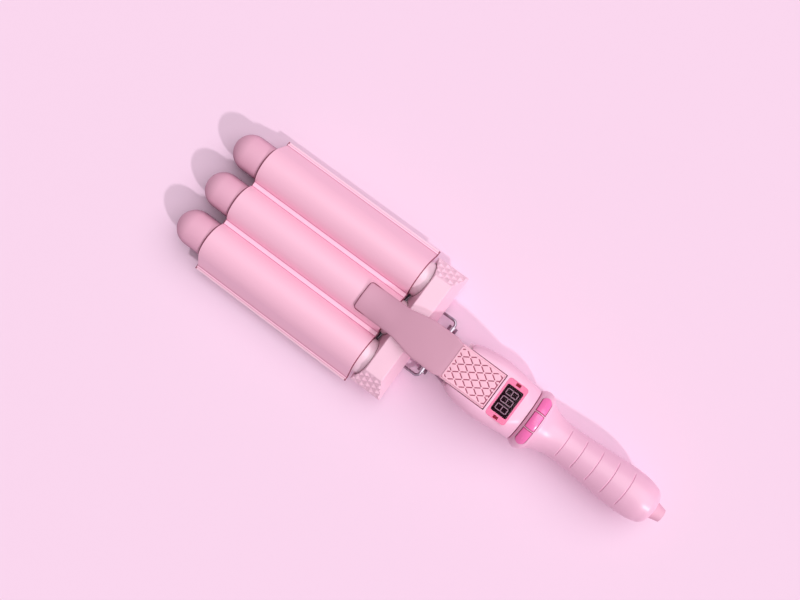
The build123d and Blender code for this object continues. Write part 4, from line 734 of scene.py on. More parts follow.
def block_top(x, y, ease):
    """Heights over the split of the upper shell: the least of the level top and the raked front and rear, and
    the raked ends."""
    height = smooth_min(BLOCK_TOP * x / FRONT_RAKE, BLOCK_TOP * (BLOCK_LENGTH - x) / REAR_RAKE, ease)
    height = smooth_min(height, np.full_like(x, BLOCK_TOP), ease)
    return height, BLOCK_TOP * (BLOCK_HIGH[1] - np.abs(y)) / END_RAKE


def diamond_relief(x, y, sizes):
    """Raised diamonds on the end facets: one less the greater of two saw-tooth distances along crossed
    diagonals, so that each cell is a low four-sided point."""
    along = x / sizes.relief_length
    across = (BLOCK_HIGH[1] - np.abs(y)) * END_LEAN / END_RAKE / sizes.relief_width
    first = np.abs((along + across) % 1 - 0.5)
    second = np.abs((along - across) % 1 - 0.5)
    return 1 - 2 * np.maximum(first, second)


def block_upper(sizes):
    """Closed loops across the block, one for each y: the inner face, the barrel hole's lip, the raked and
    level faces, and back along the split with the same steps in x, so that the two ends close on a line. The
    mask paints a line of shade along the holes' lips."""
    relief_margin = (0.6 * MM, 2.2 * MM)
    relief_foot = (0.8 * MM, 2.6 * MM)
    lip_fades = (0.4 * MM, 0.9 * MM)
    lip_lowest = 0.5 * MM
    recess_depth = 3 * MM
    y = np.linspace(-BLOCK_HIGH[1], BLOCK_HIGH[1], BLOCK_ROWS)[:, None]
    hole = BARREL_RADIUS + HOLE_GAP
    lip = np.zeros_like(y)
    for centre in BARREL_LINES:
        lip = np.maximum(lip, np.sqrt(np.clip(hole ** 2 - (y - centre) ** 2, 0, None)))
    start = lip * FRONT_RAKE / BLOCK_TOP
    share = np.linspace(0, 1, BLOCK_STEPS)[None, :]
    x = start + (BLOCK_LENGTH - start) * share
    flank, end = block_top(x, y, sizes.block_edge)
    height = smooth_min(flank, end, sizes.block_edge)
    height = np.where(share == 0, np.minimum(lip, end), height)
    on_end = fade(flank - end, *relief_margin) * fade(height, *relief_foot)
    relief = (diamond_relief(x, y, sizes) - RELIEF_BASE) * on_end * sizes.relief_depth
    y_out = y + np.sign(y) * relief * BLOCK_TOP / END_LEAN
    z_out = height + relief * END_RAKE / END_LEAN
    z_out[(0, -1), :] = 0.0
    skin = np.stack((x, y_out, z_out), axis=-1)
    recess = np.minimum(start + recess_depth * (lip > 0), BLOCK_LENGTH)
    returned = recess + (x[:, ::-1] - start) * (BLOCK_LENGTH - recess) / (BLOCK_LENGTH - start)
    rows = [np.stack(np.broadcast_arrays(*corner), axis=-1) for corner in (
        (recess, y, 0.0 * y), (recess, y, np.minimum(lip, end[:, :1])), (returned[:, :-1], y, 0.0 * y))]
    loops = np.concatenate((*rows[:2], skin, rows[2]), axis=1)
    loops[..., 0] += BLOCK_LOW[0]
    loops[..., 2] += BLOCK_LOW[2]
    # Painted shade: the line mask darkens the block's faces beside each barrel hole's lip, where shadow falls
    # in the gap.
    at_lip = (1 - fade(x - start, *lip_fades)) * (lip > 0) * (height > lip_lowest)
    line = np.pad(at_lip, ((0, 0), (2, x.shape[1] - 1)))
    return closed_grid(loops), line.ravel()


class WAVER_OT_block(bpy.types.Operator):
    """Faceted barrel block with diamond relief on its ends and a hole's lip round each barrel"""
    bl_idname = "waver.block"
    bl_label = "Barrel block"

    def execute(self, context):
        surface, line = block_upper(context.scene.waver_sizes)
        add_piece("dressed_block_upper", surface, "handle_unit", "block_satin",
                  ("block_upper_shell",), crease=30.0, masks={"line": line})
        dress("block_satin", "block_lower_shell")
        # The bushes' and bracket's dark rose colours stand in for the shade in the gaps between jaw and
        # block.
        dress("bush_rose", "barrel_bushes")
        dress("bracket_enamel", "barrel_bracket")
        dress("screw_zinc", "block_screws")
        return {"FINISHED"}


# ---- lever and thumb pad ----
LEVER_NOSE = 12.9 * MM
LEVER_WAIST = 16.94 * MM
LEVER_TAIL = 15.6 * MM
LEVER_CORNER = 3.2 * MM
LEVER_EDGE = 1.6 * MM
LEVER_WALL = 1.8 * MM
PAD_PROUD = 0.5 * MM
PAD_SEAT = 0.9 * MM
PAD_CROWN = 0.18 * MM
SLOT_FLOOR = 0.28
SLOT_MOUTH = 0.62
REAR_SLOT_SHARE = 0.8
HUG_LOSS = 0.88  # how much of the arch's curve the lever loses on its way to the pivot
EAR_FRONT, EAR_REAR = PIVOT[0] - 9 * MM, PIVOT[0] + 9 * MM
STEP = 0.02 * MM  # a hair's breadth, over which the lever's surface steps


def lever_crest(x):
    """Height of the lever's centre line: a smooth curve over the arch, the pivot and the pad."""
    spots = np.array(((LEVER_LOW[0], 2.3 * MM), (LEVER_LOW[0] + 12 * MM, 3.4 * MM),
                      (COVER_HIGH[0] + 3 * MM, 7.2 * MM), (PIVOT[0] - 26 * MM, 11.3 * MM),
                      (PIVOT[0] - 9 * MM, 15.3 * MM), (PIVOT[0] + 5 * MM, 17.8 * MM),
                      (PAD_LOW[0] + 1 * MM, 19.2 * MM), (PAD_LOW[0] + 13 * MM, 18.9 * MM),
                      (PAD_LOW[0] + 27 * MM, 17.7 * MM), (LEVER_HIGH[0] + 1 * MM, 16.2 * MM)))
    return COVER_HIGH[2] + smooth_curve(x, spots)


def lever_half_width(x):
    """Half the lever's width: a smooth step from nose to waist, a straight one to the tail, and rounded
    corners at the nose."""
    swell = fade(x, COVER_HIGH[0] + 8 * MM, PIVOT[0] - 11 * MM)
    tail = np.clip((x - EAR_REAR) / (4 * MM), 0, 1)
    width = LEVER_NOSE + (LEVER_WAIST - LEVER_NOSE) * swell
    width = width + (LEVER_TAIL - width) * tail
    return width - drawn_in(x - LEVER_LOW[0], LEVER_CORNER)


def lever_skirt(x, y):
    """Lowest height of the lever at a point: on the arch ahead of the gap, over the block, down the ears
    beside the pivot, and up again to the tail."""
    arch = AXIS_Z + np.sqrt((COVER_HIGH[2] - AXIS_Z + 0.05 * MM) ** 2 - y ** 2)
    over_block = BLOCK_HIGH[2] + 2.4 * MM
    ear_foot = PIVOT[2] - 5.6 * MM
    tail = COVER_HIGH[2] + 11 * MM
    spots = np.array(((COVER_HIGH[0], PIVOT[2] + 1 * MM), (COVER_HIGH[0] + 6 * MM, over_block),
                      (BLOCK_HIGH[0] - 4 * MM, over_block), (EAR_FRONT - STEP, PIVOT[2] + 3 * MM),
                      (EAR_FRONT, ear_foot), (EAR_REAR, ear_foot), (EAR_REAR + STEP, PIVOT[2] + 10.5 * MM),
                      (EAR_REAR + 4 * MM, tail), (LEVER_HIGH[0], tail)))
    return np.where(x < COVER_HIGH[0], arch, np.interp(x, *spots.T) + 0 * y)


def lever_stations():
    """Places along the lever: rolled ends, even steps, and pairs a hair apart at the ears and the pad."""
    front, rear = LEVER_LOW[0], LEVER_HIGH[0]
    roll = LEVER_EDGE * (1 - np.cos(np.linspace(0, pi / 2, 8)))
    even = np.linspace(front + LEVER_EDGE, rear - LEVER_EDGE, LEVER_ROWS)
    steps = (PAD_LOW[0] - 2 * STEP, PAD_LOW[0] - STEP, PAD_HIGH[0] + STEP, PAD_HIGH[0] + 2 * STEP,
             EAR_FRONT - STEP, EAR_FRONT, EAR_REAR, EAR_REAR + STEP)
    x = np.unique(np.concatenate((front + roll, rear - roll, even, steps)))
    return np.concatenate((x[:1], x, x[-1:]))[:, None]


def lever_surface():
    """Closed shell carried along X, and its masks. Each section rises from the skirt, rolls over a quarter
    circle and crosses the top, which drops by c (r - sqrt(r^2 - y^2)): c is 1 at the nose, so that it hugs
    the arch, and fades to nothing at the pad. Under the pad the top is sunk by the pad's seat."""
    shade_line_fades = (0.5 * MM, 1.1 * MM)
    front, rear = LEVER_LOW[0], LEVER_HIGH[0]
    x = lever_stations()
    quarter = np.linspace(0, pi / 2, 9)[1:]
    pad_side = PAD_HIGH[1] + STEP
    half_top = np.concatenate((np.linspace(0, pad_side, LEVER_STEPS), (pad_side + STEP,)))
    width = lever_half_width(x)
    flat = width - LEVER_EDGE
    top_y = np.minimum(half_top[None, :], flat)
    inner = np.concatenate((-top_y[:, :0:-1], top_y), axis=1)
    arc_y = flat + LEVER_EDGE * np.sin(quarter)[None, :]
    arc_drop = LEVER_EDGE * (1 - np.cos(quarter))[None, :] + 0 * width
    wall = np.concatenate((0 * width + LEVER_EDGE, 0 * width), axis=1)
    y = np.concatenate((-width, -width, -arc_y[:, ::-1], inner, arc_y, width, width), axis=1)
    drop = np.concatenate((wall[:, ::-1], arc_drop[:, ::-1], 0 * inner, arc_drop, wall), axis=1)
    hug = COVER_HIGH[2] - AXIS_Z + 2.3 * MM
    crown = 1 - HUG_LOSS * fade(x, front + 14 * MM, COVER_HIGH[0] + 14 * MM)
    crown = crown * (1 - fade(x, EAR_FRONT, PIVOT[0] + 11 * MM))
    z = lever_crest(x) - drop - crown * (hug - np.sqrt(hug ** 2 - y ** 2))
    z = z - drawn_in(np.minimum(x - front, rear - x), LEVER_EDGE) * (drop < LEVER_EDGE)
    pad_front = PAD_LOW[0] - 1.5 * STEP
    beside = (x > pad_front) & (x < PAD_HIGH[0] + 1.5 * STEP)
    z = np.where(beside & (np.abs(y) < pad_side + STEP / 2), z - PAD_SEAT, z)
    low = lever_skirt(x, y)
    z = np.maximum(z, low + STEP)
    z[:, (0, -1)] = low[:, (0, -1)]
    z[(0, -1), :] = low[(0, -1), :]
    outer = np.stack((x + 0 * y, y, z), axis=-1)
    in_x = np.clip(x, front + LEVER_WALL, rear - LEVER_WALL) + 0 * y
    in_y = y * (1 - LEVER_WALL / width)
    in_low = lever_skirt(in_x, in_y)
    hollow = in_x > COVER_HIGH[0] - 17 * MM
    in_z = np.where(hollow, np.maximum(z - LEVER_WALL, in_low), in_low)
    in_z[(0, -1), :] = in_low[(0, -1), :]
    rim = (x > pad_front) + 0.0 * y
    # Painted shade: the line mask darkens the nose's front and the edges near it, where the lever casts its
    # shadow onto the arch.
    line = 1 - fade(np.minimum(x - front, width - np.abs(y)), *shade_line_fades)
    line = line * (1 - fade(x, front + 6 * MM, front + 14 * MM))
    masks = {"rim": np.tile(rim.ravel(), 2), "line": np.tile(line.ravel(), 2)}
    return walled(outer, np.stack((in_x, in_y, in_z), axis=-1)), masks


def quilt(x, y, sizes):
    """Depth of the pad's slots and height of its diamonds: on two crossed families of lines each slot stops
    short of the crossings, and the diamonds between them are gently crowned."""
    along = x / sizes.quilt_length
    across = y / sizes.quilt_width
    spacing = 1 / np.hypot(1 / sizes.quilt_length, 1 / sizes.quilt_width)
    slot_stops = (0.55 * MM, 1.0 * MM)
    floor_half = sizes.quilt_slot * SLOT_FLOOR
    slot_half = sizes.quilt_slot * SLOT_MOUTH
    depth = np.zeros_like(x)
    crown = np.ones_like(x)
    for line, other in ((along + across, along - across), (along - across, along + across)):
        away = np.abs((line + 0.5) % 1 - 0.5) * spacing
        from_crossing = np.abs((other + 0.5) % 1 - 0.5) * spacing
        slot = 1 - fade(away, floor_half, slot_half)
        depth = np.maximum(depth, slot * fade(from_crossing, *slot_stops))
        crown = crown * np.cos(pi * (0.5 - away / spacing)) ** 0.5
    return depth, crown


def pad_surface(sizes):
    """Closed wall between the quilted top and the pad's seat, and the mask of its slots. x runs along the
    pad, and y is a share of the half width, which draws in at each end to round the corners."""
    length_x = PAD_HIGH[0] - PAD_LOW[0]
    half = PAD_HIGH[1]
    corner = 1.8 * MM
    edge = 0.25 * MM
    margin = 0.9 * MM
    room_fades = (0.2 * MM, 0.6 * MM)
    rear_fades = (0.2 * MM, 0.5 * MM)
    dash_fades = (0.36, 0.44)
    rear_stops = (1.0 * MM, 1.6 * MM)
    shade_fades = (0.15 * MM, 0.7 * MM)
    seat_play = 0.05 * MM
    ends = corner * (1 - np.cos(np.linspace(0, pi / 2, 10)))
    even = np.linspace(corner, length_x - corner, PAD_ROWS)
    x = np.concatenate((ends[:-1], even, length_x - ends[-2::-1]))[:, None]
    even = np.linspace(-1 + corner / half, 1 - corner / half, PAD_STEPS)
    share = np.concatenate((-1 + ends[:-1] / half, even, 1 - ends[-2::-1] / half))[None, :]
    from_end = np.minimum(x, length_x - x)
    width = half - drawn_in(from_end, corner)
    y = width * share
    x = x + 0 * y
    from_side = width - np.abs(y)
    rolled = drawn_in(np.minimum(from_end, from_side), edge)
    depth, crown = quilt(x - length_x / 2 - sizes.quilt_length / 2, y, sizes)
    room = fade(np.minimum(from_end, from_side) - margin, *room_fades)
    rear_line = np.abs(x - (length_x - margin))
    dash = np.abs((y / sizes.quilt_width) % 1 - 0.5)
    rear_slot = (1 - fade(rear_line, *rear_fades)) * (1 - fade(dash, *dash_fades))
    rear_slot = rear_slot * fade(from_side, *rear_stops)
    sunk = np.maximum(depth * room, rear_slot * REAR_SLOT_SHARE) * sizes.quilt_depth
    along = x + PAD_LOW[0]
    crest = lever_crest(along) + PAD_PROUD
    top = crest + PAD_CROWN * (crown - 1) * room - sunk - rolled
    seat = crest - PAD_PROUD - PAD_SEAT + seat_play
    slots = np.concatenate((fade(sunk, *shade_fades).ravel(), np.zeros(sunk.size)))
    return walled(np.stack((along, y, top), axis=-1), np.stack((along, y, seat), axis=-1)), slots


class WAVER_OT_lever(bpy.types.Operator):
    """Matt lever and its quilted thumb pad"""
    bl_idname = "waver.lever"
    bl_label = "Lever and thumb pad"

    def execute(self, context):
        surface, masks = lever_surface()
        add_piece("dressed_lever", surface, "clamp", "lever_matt", ("lever",), crease=35.0,
                  masks=masks)
        surface, slots = pad_surface(context.scene.waver_sizes)
        add_piece("dressed_thumb_pad", surface, "clamp", "pad_soft", ("thumb_pad",),
                  crease=70.0, masks={"slots": slots})
        return {"FINISHED"}


# ---- neck, hinge and stand ----
class WAVER_OT_neck(bpy.types.Operator):
    """Finishes of the neck frame, pivot pin, collar and wire stand"""
    bl_idname = "waver.neck"
    bl_label = "Neck and stand"

    def execute(self, context):
        dress("body_satin", "neck_frame")
        dress("block_satin", "neck_collar")
        dress("steel_plain", "pivot_pin")
        dress("chrome_bright", "stand_wire", "stand_bosses")
        dress("screw_zinc", "neck_screws")
        return {"FINISHED"}


# ---- body and display ----
# both ends of each bar, in shares of a digit's height and width from its middle
SEGMENT_ENDS = (
    ((0.5, 0.5), (0.5, -0.5)), ((0.0, 0.5), (0.0, -0.5)), ((-0.5, 0.5), (-0.5, -0.5)),
    ((0.5, 0.5), (0.0, 0.5)), ((0.0, 0.5), (-0.5, 0.5)),
    ((0.5, -0.5), (0.0, -0.5)), ((0.0, -0.5), (-0.5, -0.5)),
)

SEGMENT_GAP = 0.2


def segment(start, end, stroke, low, high):
    """One bar of a digit: a plate with pointed ends between two corners, from low to high in z."""
    start, end = np.array(start), np.array(end)
    along = (end - start) / np.linalg.norm(end - start)
    across = np.array((-along[1], along[0])) * stroke / 2
    point = along * stroke / 2
    start = start + along * stroke * SEGMENT_GAP
    end = end - along * stroke * SEGMENT_GAP
    outline = np.array((start, start + point + across, end - point + across, end, end - point - across,
                        start + point - across))
    middle = np.tile((start + end) / 2, (6, 1))
    rings = ((middle, low), (outline, low), (outline, high), (middle, high))
    return closed_grid(np.stack([np.column_stack((ring, np.full(6, z))) for ring, z in rings]))


def digits(sizes):
    """Three digits side by side along Y, with all seven bars of each."""
    centre = (LENS_LOW + LENS_HIGH) / 2
    surface_z = low_high("display_module")[1][2]
    bars = []
    for k in (-1, 0, 1):
        for ends in SEGMENT_ENDS:
            corners = [(centre[0] + a * sizes.digit_height, k * sizes.digit_pitch + b * sizes.digit_width)
                       for a, b in ends]
            bars.append(segment(*corners, sizes.digit_stroke, surface_z - 0.05 * MM, surface_z + 0.08 * MM))
    return joined(*bars)


def lens_surface():
    """Smoked window: a plate whose outline is a rounded rectangle and whose upper rim is rolled."""
    half = (LENS_HIGH - LENS_LOW) / 2
    centre = (LENS_HIGH + LENS_LOW) / 2
    corner = 1.4 * MM
    rim = 0.35 * MM
    shoulder = 0.3 * rim
    turn = np.linspace(0, pi / 2, 12)
    quarters = []
    for k, sides in enumerate(((1, 1), (-1, 1), (-1, -1), (1, -1))):
        angle = turn + k * pi / 2
        quarters.append(np.array(sides) * (half[:2] - corner)
                        + corner * np.stack((np.cos(angle), np.sin(angle)), axis=-1))
    outline = np.concatenate(quarters)
    levels = ((0.0, -half[2]), (1.0, -half[2]), (1.0, half[2] - rim),
              (1 - shoulder / half[0], half[2] - shoulder), (1 - rim / half[0], half[2]), (0.0, half[2]))
    rows = [np.column_stack((centre[:2] + outline * share, np.full(len(outline), centre[2] + z)))
            for share, z in levels]
    return closed_grid(np.stack(rows))


class WAVER_OT_body(bpy.types.Operator):
    """Body shells, bezel, smoked window, digits and indicator windows"""
    bl_idname = "waver.body"
    bl_label = "Body and display"

    def execute(self, context):
        dress("body_satin", "body_upper_shell", "body_lower_shell")
        dress("bezel_gloss", "display_bezel")
        dress("screw_zinc", "body_screws")
        dress("display_back", "display_module")
        dress("indicator_red", "indicator_windows")
        add_piece("dressed_lens", lens_surface(), "handle_unit", "smoked_glass",
                  ("display_lens",))
        add_piece("display_digits", digits(context.scene.waver_sizes), "handle_unit",
                  "digit_lit")
        return {"FINISHED"}


# ---- control ring and buttons ----
BUTTON_HALF_WIDTH = 4.2 * MM
BUTTON_PROUD = 0.5 * MM
BUTTON_EDGE = 0.45 * MM
MARK_PROUD = 0.07 * MM
MARK_SUNK = 0.15 * MM
CENTRE_HALF_ANGLE = radians(15.6)
SIDE_ANGLE = radians(35.6)
SIDE_HALF_ANGLE = radians(17.0)
RING_EDGE_RADIUS = 22.8 * MM
BUTTON_BASE_RADIUS = 21.0 * MM
# name, side of the rounded end, angle from the top, half of the angle it spans
BUTTONS = (("minus", 1, SIDE_ANGLE, SIDE_HALF_ANGLE), ("power", 0, 0.0, CENTRE_HALF_ANGLE),
           ("plus", -1, -SIDE_ANGLE, SIDE_HALF_ANGLE))


def ring_surface(x):
    """Radius of the ring's bulge at x: the circle through its two edges and its crown."""
    half = (RING_HIGH[0] - RING_LOW[0]) / 2
    rise = RING_RADIUS - RING_EDGE_RADIUS
    bulge = (half ** 2 + rise ** 2) / (2 * rise)
    return RING_RADIUS - bulge + np.sqrt(bulge ** 2 - (x - RING_MIDDLE_X) ** 2)


def button_surface(rounded, angle, half_angle):
    """A key that follows the ring's bulge and stands proud of it, and the mask that paints shade on its rim.
    x is a share of its half width, which shrinks as a circle towards a rounded end on the side +1 or -1,
    or 0 for none."""
    half_run = RING_RADIUS * half_angle
    before_end = half_run - BUTTON_HALF_WIDTH
    turn = np.linspace(0, pi / 2, BUTTON_STEPS)[1:]
    arc = np.concatenate((np.linspace(-half_run, before_end, BUTTON_STEPS),
                          before_end + BUTTON_HALF_WIDTH * np.sin(turn)))[:, None]
    share = np.sin(np.linspace(-pi / 2, pi / 2, BUTTON_STEPS + 1))[None, :]
    width = BUTTON_HALF_WIDTH + 0 * arc
    from_end = half_run - np.abs(arc)
    if rounded:
        width = np.sqrt(np.clip(BUTTON_HALF_WIDTH ** 2 - np.clip(arc - before_end, 0, None) ** 2, 0, None))
        from_end = arc + half_run
    x = RING_MIDDLE_X + width * share
    at = angle + (-1 if rounded < 0 else 1) * arc / RING_RADIUS
    border = np.minimum(width * (1 - np.abs(share)), from_end)
    radius = ring_surface(x) + BUTTON_PROUD - drawn_in(border, BUTTON_EDGE)
    # Painted shade: the line mask darkens the key's rolled rim, and all of its under skin.
    shade_line_fades = (0.2 * MM, 0.42 * MM)
    line = np.concatenate(((1 - fade(border, *shade_line_fades)).ravel(), np.ones(border.size)))
    return walled(about_axis(x, at, radius, HANDLE_AXIS),
                  about_axis(x, at, BUTTON_BASE_RADIUS, HANDLE_AXIS)), line


def raised_strip(path, stroke, angle):
    """A thin flat strip on a key along a path of (x, arc) points in mm from the key's middle."""
    path = np.asarray(path, float) * MM
    along = np.gradient(path, axis=0)
    along /= np.linalg.norm(along, axis=1)[:, None]
    across = np.stack((-along[:, 1], along[:, 0]), axis=-1) * stroke / 2
    edges = np.stack((path - across, path + across), axis=1)
    x = RING_MIDDLE_X + edges[..., 0]
    at = angle + edges[..., 1] / RING_RADIUS
    base = ring_surface(x) + BUTTON_PROUD
    return walled(about_axis(x, at, base + MARK_PROUD, HANDLE_AXIS),
                  about_axis(x, at, base - MARK_SUNK, HANDLE_AXIS))


def key_marks(name, angle):
    """Generic marks: a bar, a cross, or an open circle with a stroke."""
    stroke = 0.5 * MM
    bar = np.stack((np.zeros(9), np.linspace(-1.5, 1.5, 9)), axis=-1)
    if name == "minus":
        return raised_strip(bar, stroke, angle)
    if name == "plus":
        upright_share = 0.98  # a little narrower, so that the two bars share no edge
        return joined(raised_strip(bar, stroke, angle),
                      raised_strip(bar[:, ::-1], stroke * upright_share, angle))
    turn = np.linspace(radians(35), radians(325), 40)
    circle = 2.1 * np.stack((-np.cos(turn), np.sin(turn)), axis=-1)
    upright = np.stack((np.linspace(-2.4, -0.4, 6), np.zeros(6)), axis=-1)
    return joined(raised_strip(circle, stroke, angle), raised_strip(upright, stroke, angle))


class WAVER_OT_keys(bpy.types.Operator):
    """Control ring with three push buttons and their marks"""
    bl_idname = "waver.keys"
    bl_label = "Control ring and buttons"

    def execute(self, context):
        dress("body_satin", "control_ring")
        for name, rounded, angle, half_angle in BUTTONS:
            surface, line = button_surface(rounded, angle, half_angle)
            add_piece("dressed_button_" + name, surface, name + "_key", "button_gloss",
                      ("button_" + name,), crease=50.0, masks={"line": line})
            add_piece("mark_" + name, key_marks(name, angle), name + "_key", "mark_light")
        return {"FINISHED"}


# ---- handle and cord outlet ----
def handle_radius(x):
    """Radius of the grip at x: a smooth curve through a flare, a waist and a swell."""
    start = RING_HIGH[0]
    length_mm = (low_high("handle_upper_shell")[1][0] - start) / MM
    # distance from the ring and radius there, in millimetres
    spots = ((0.0, 21.1), (7.5, 17.8), (15.0, 15.9), (24.7, 15.2), (41.0, 15.9), (55.0, 16.9), (71.0, 18.05),
             (84.0, 18.4), (length_mm - 5, 17.4), (length_mm, 16.0))
    return smooth_curve(x - start, np.array(spots) * MM)


def handle_half(upper, sizes):
    """One half of the grip: radius(x) about the handle's axis, less an arc groove at each pitch over the
    upper side, with the rims beside the split rolled in."""
    low, high = low_high("handle_upper_shell")
    first = 22.4 * MM
    pitch = 14.1 * MM
    groove_floor = 0.1 * MM
    groove_side = 0.588 * MM
    rim = 0.35 * MM
    rim_share = 0.6
    wall = 2.4 * MM
    grooves = low[0] + first + pitch * np.arange(5)
    beside = (grooves[:, None] + np.linspace(-0.9, 0.9, 13)[None, :] * MM).ravel()
    x = np.unique(np.concatenate((np.linspace(low[0], high[0], HANDLE_ROWS), beside)))[:, None]
    from_middle = np.linspace(-pi / 2, pi / 2, HANDLE_STEPS)[None, :]
    angle = from_middle if upper else pi + from_middle
    radius = handle_radius(x) + 0 * angle
    if upper:
        away = np.min(np.abs(x - grooves[None, :]), axis=1)[:, None]
        reach = 1 - fade(np.abs(angle), radians(46), radians(54))
        radius = radius - sizes.grip_groove * (1 - fade(away, groove_floor, groove_side)) * reach
    radius = radius - rim_share * drawn_in((pi / 2 - np.abs(from_middle)) * radius, rim)
    return walled(about_axis(x, angle, radius, HANDLE_AXIS),
                  about_axis(x, angle, handle_radius(x) - wall, HANDLE_AXIS))


class WAVER_OT_handle(bpy.types.Operator):
    """Waisted grip with arc grooves, end cap and turning cord outlet"""
    bl_idname = "waver.handle"
    bl_label = "Handle and cord outlet"

    def execute(self, context):
        for name in ("handle_upper_shell", "handle_lower_shell"):
            surface = handle_half(name == "handle_upper_shell", context.scene.waver_sizes)
            add_piece("dressed_" + name, surface, "handle_unit", "body_satin", (name,))
        dress("body_satin", "end_cap")
        dress("tip_matt", "cord_swivel")
        dress("screw_zinc", "handle_screws")
        dress("steel_plain", "swivel_washer")
        return {"FINISHED"}


# ---- inner works ----
class WAVER_OT_inner_works(bpy.types.Operator):
    """Finishes of the heaters, sensors, board and leads inside the casings"""
    bl_idname = "waver.inner_works"
    bl_label = "Inner works"

    def execute(self, context):
        for side in SIDES:
            dress("white_ceramic", "heater_" + side)
            dress("drawn_aluminium", "heat_spreaders_" + side)
        dress("part_moulding", "thermistor", "thermal_fuse", "filter_capacitor", "heater_relay", "processor",
              "tact_switches", "swivel_contacts")
        dress("tube_rose", "coupling_tube")
        dress("board_green", "control_board")
        dress("screw_zinc", "board_screws")
        dress("woven_sleeve", "heater_leads", "mains_lead")
        return {"FINISHED"}


# ---- stage ----
CAMERA_PLACE = (29.24 * MM, 1.86 * MM, 710.05 * MM)
CAMERA_TARGET = (-37.64 * MM, 13.99 * MM, 19.7 * MM)
CAMERA_UP = (-0.5919, 0.8028, 0.0715)
CAMERA_LENS = 39.057
SKY_STRENGTH = 0.19
# name, direction of the lamp, energy, angle in degrees
LAMPS = (("key", (1.2, -0.34, 1.0), 1.2, 2.5), ("overhead", (0.36, 0.42, 1.0), 2.1, 64.0))


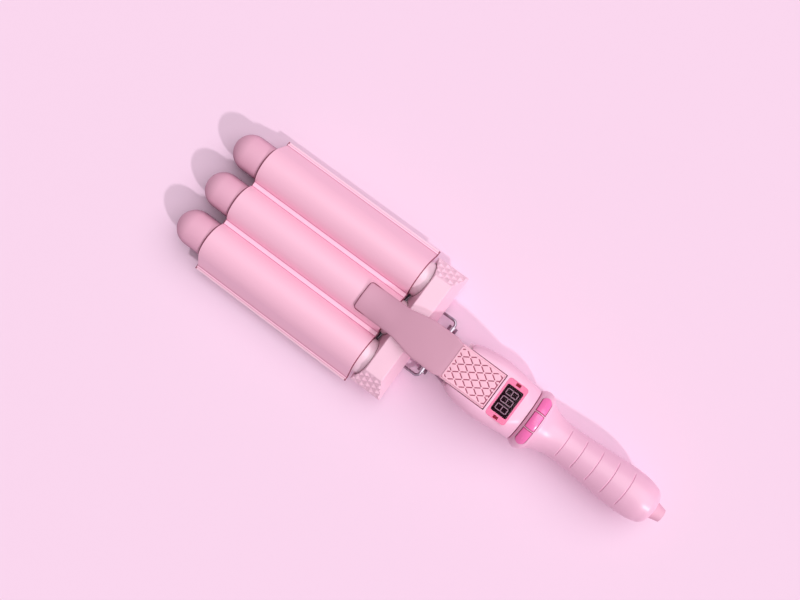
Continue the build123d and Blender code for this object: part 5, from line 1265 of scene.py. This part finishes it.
class WAVER_OT_stage(bpy.types.Operator):
    """Plain pale floor, an even sky, a key lamp, a wide overhead lamp and the camera"""
    bl_idname = "waver.stage"
    bl_label = "Stage"

    def execute(self, context):
        scene = context.scene
        self.add_floor(scene)
        self.add_sky(scene)
        for name, direction, energy, angle in LAMPS:
            light = bpy.data.lights.new(name, "SUN")
            light.energy = energy
            light.angle = radians(angle)
            lamp = bpy.data.objects.new(name, light)
            lamp.rotation_euler = Vector(direction).to_track_quat("Z", "Y").to_euler()
            scene.collection.objects.link(lamp)
        self.add_camera(scene)
        scene.view_settings.view_transform = "Standard"
        return {"FINISHED"}

    def add_floor(self, scene):
        reach = 3.0
        level = CAD_BOX[0][2]
        corners = ((-reach, -reach), (reach, -reach), (reach, reach), (-reach, reach))
        mesh = bpy.data.meshes.new("floor")
        mesh.from_pydata([(x, y, level) for x, y in corners], [], [(0, 1, 2, 3)])
        material = bpy.data.materials.new("floor_paper")
        material.use_nodes = True
        shader = material.node_tree.nodes["Principled BSDF"]
        shader.inputs["Base Color"].default_value = (*scene.waver_colours.floor, 1.0)
        shader.inputs["Roughness"].default_value = 0.9
        shader.inputs["Specular IOR Level"].default_value = 0.1
        mesh.materials.append(material)
        floor = bpy.data.objects.new("floor", mesh)
        scene.collection.objects.link(floor)

    def add_sky(self, scene):
        """An even white sky that lights, and the floor's colour where the sky itself is seen."""
        world = bpy.data.worlds.new("even_sky")
        world.use_nodes = True
        tree = world.node_tree
        sky = tree.nodes["Background"]
        sky.inputs["Color"].default_value = (1.0, 1.0, 1.0, 1.0)
        sky.inputs["Strength"].default_value = SKY_STRENGTH
        seen = tree.nodes.new("ShaderNodeBackground")
        seen.inputs["Color"].default_value = (*scene.waver_colours.floor, 1.0)
        path = tree.nodes.new("ShaderNodeLightPath")
        is_seen = path.outputs["Is Camera Ray"]
        for ray in ("Is Glossy Ray", "Is Transmission Ray"):
            is_seen = math_node(tree, "MAXIMUM", is_seen, path.outputs[ray])
        mix = tree.nodes.new("ShaderNodeMixShader")
        tree.links.new(is_seen, mix.inputs["Fac"])
        tree.links.new(sky.outputs["Background"], mix.inputs[1])
        tree.links.new(seen.outputs["Background"], mix.inputs[2])
        tree.links.new(mix.outputs["Shader"], tree.nodes["World Output"].inputs["Surface"])
        scene.world = world

    def add_camera(self, scene):
        data = bpy.data.cameras.new("camera")
        data.sensor_fit = "HORIZONTAL"
        data.sensor_width = 36.0
        data.lens = CAMERA_LENS
        place = Vector(CAMERA_PLACE)
        back = (place - Vector(CAMERA_TARGET)).normalized()
        right = Vector(CAMERA_UP).cross(back).normalized()
        turned = Matrix((right, back.cross(right), back)).transposed().to_4x4()
        camera = bpy.data.objects.new("camera", data)
        camera.matrix_world = Matrix.Translation(place) @ turned
        scene.collection.objects.link(camera)
        scene.camera = camera


OPERATORS = (WAVER_OT_stage, WAVER_OT_cool_tips, WAVER_OT_barrels, WAVER_OT_jaw, WAVER_OT_block,
             WAVER_OT_lever, WAVER_OT_neck, WAVER_OT_body, WAVER_OT_keys, WAVER_OT_handle,
             WAVER_OT_inner_works)
GROUPS = (WaverSizes, WaverColours)


class WAVER_PT_panel(bpy.types.Panel):
    """Sizes, colours and steps of the hair waver"""
    bl_idname = "WAVER_PT_panel"
    bl_label = "Hair Waver"
    bl_space_type = "VIEW_3D"
    bl_region_type = "UI"
    bl_category = "Hair Waver"

    def draw(self, context):
        layout = self.layout
        for title, group in (("Sizes", context.scene.waver_sizes), ("Colours", context.scene.waver_colours)):
            box = layout.box()
            box.label(text=title)
            for name in group.__annotations__:
                box.prop(group, name)
        for operator in OPERATORS:
            layout.operator(operator.bl_idname)


def register():
    for part in (*GROUPS, *OPERATORS, WAVER_PT_panel):
        bpy.utils.register_class(part)
    bpy.types.Scene.waver_sizes = bpy.props.PointerProperty(type=WaverSizes)
    bpy.types.Scene.waver_colours = bpy.props.PointerProperty(type=WaverColours)


def unregister():
    del bpy.types.Scene.waver_colours
    del bpy.types.Scene.waver_sizes
    for part in reversed((*GROUPS, *OPERATORS, WAVER_PT_panel)):
        bpy.utils.unregister_class(part)


def main():
    register()
    bpy.ops.waver.stage()
    bpy.ops.waver.cool_tips()
    bpy.ops.waver.barrels()
    bpy.ops.waver.jaw()
    bpy.ops.waver.block()
    bpy.ops.waver.lever()
    bpy.ops.waver.neck()
    bpy.ops.waver.body()
    bpy.ops.waver.keys()
    bpy.ops.waver.handle()
    bpy.ops.waver.inner_works()


if __name__ == "__main__":
    main()
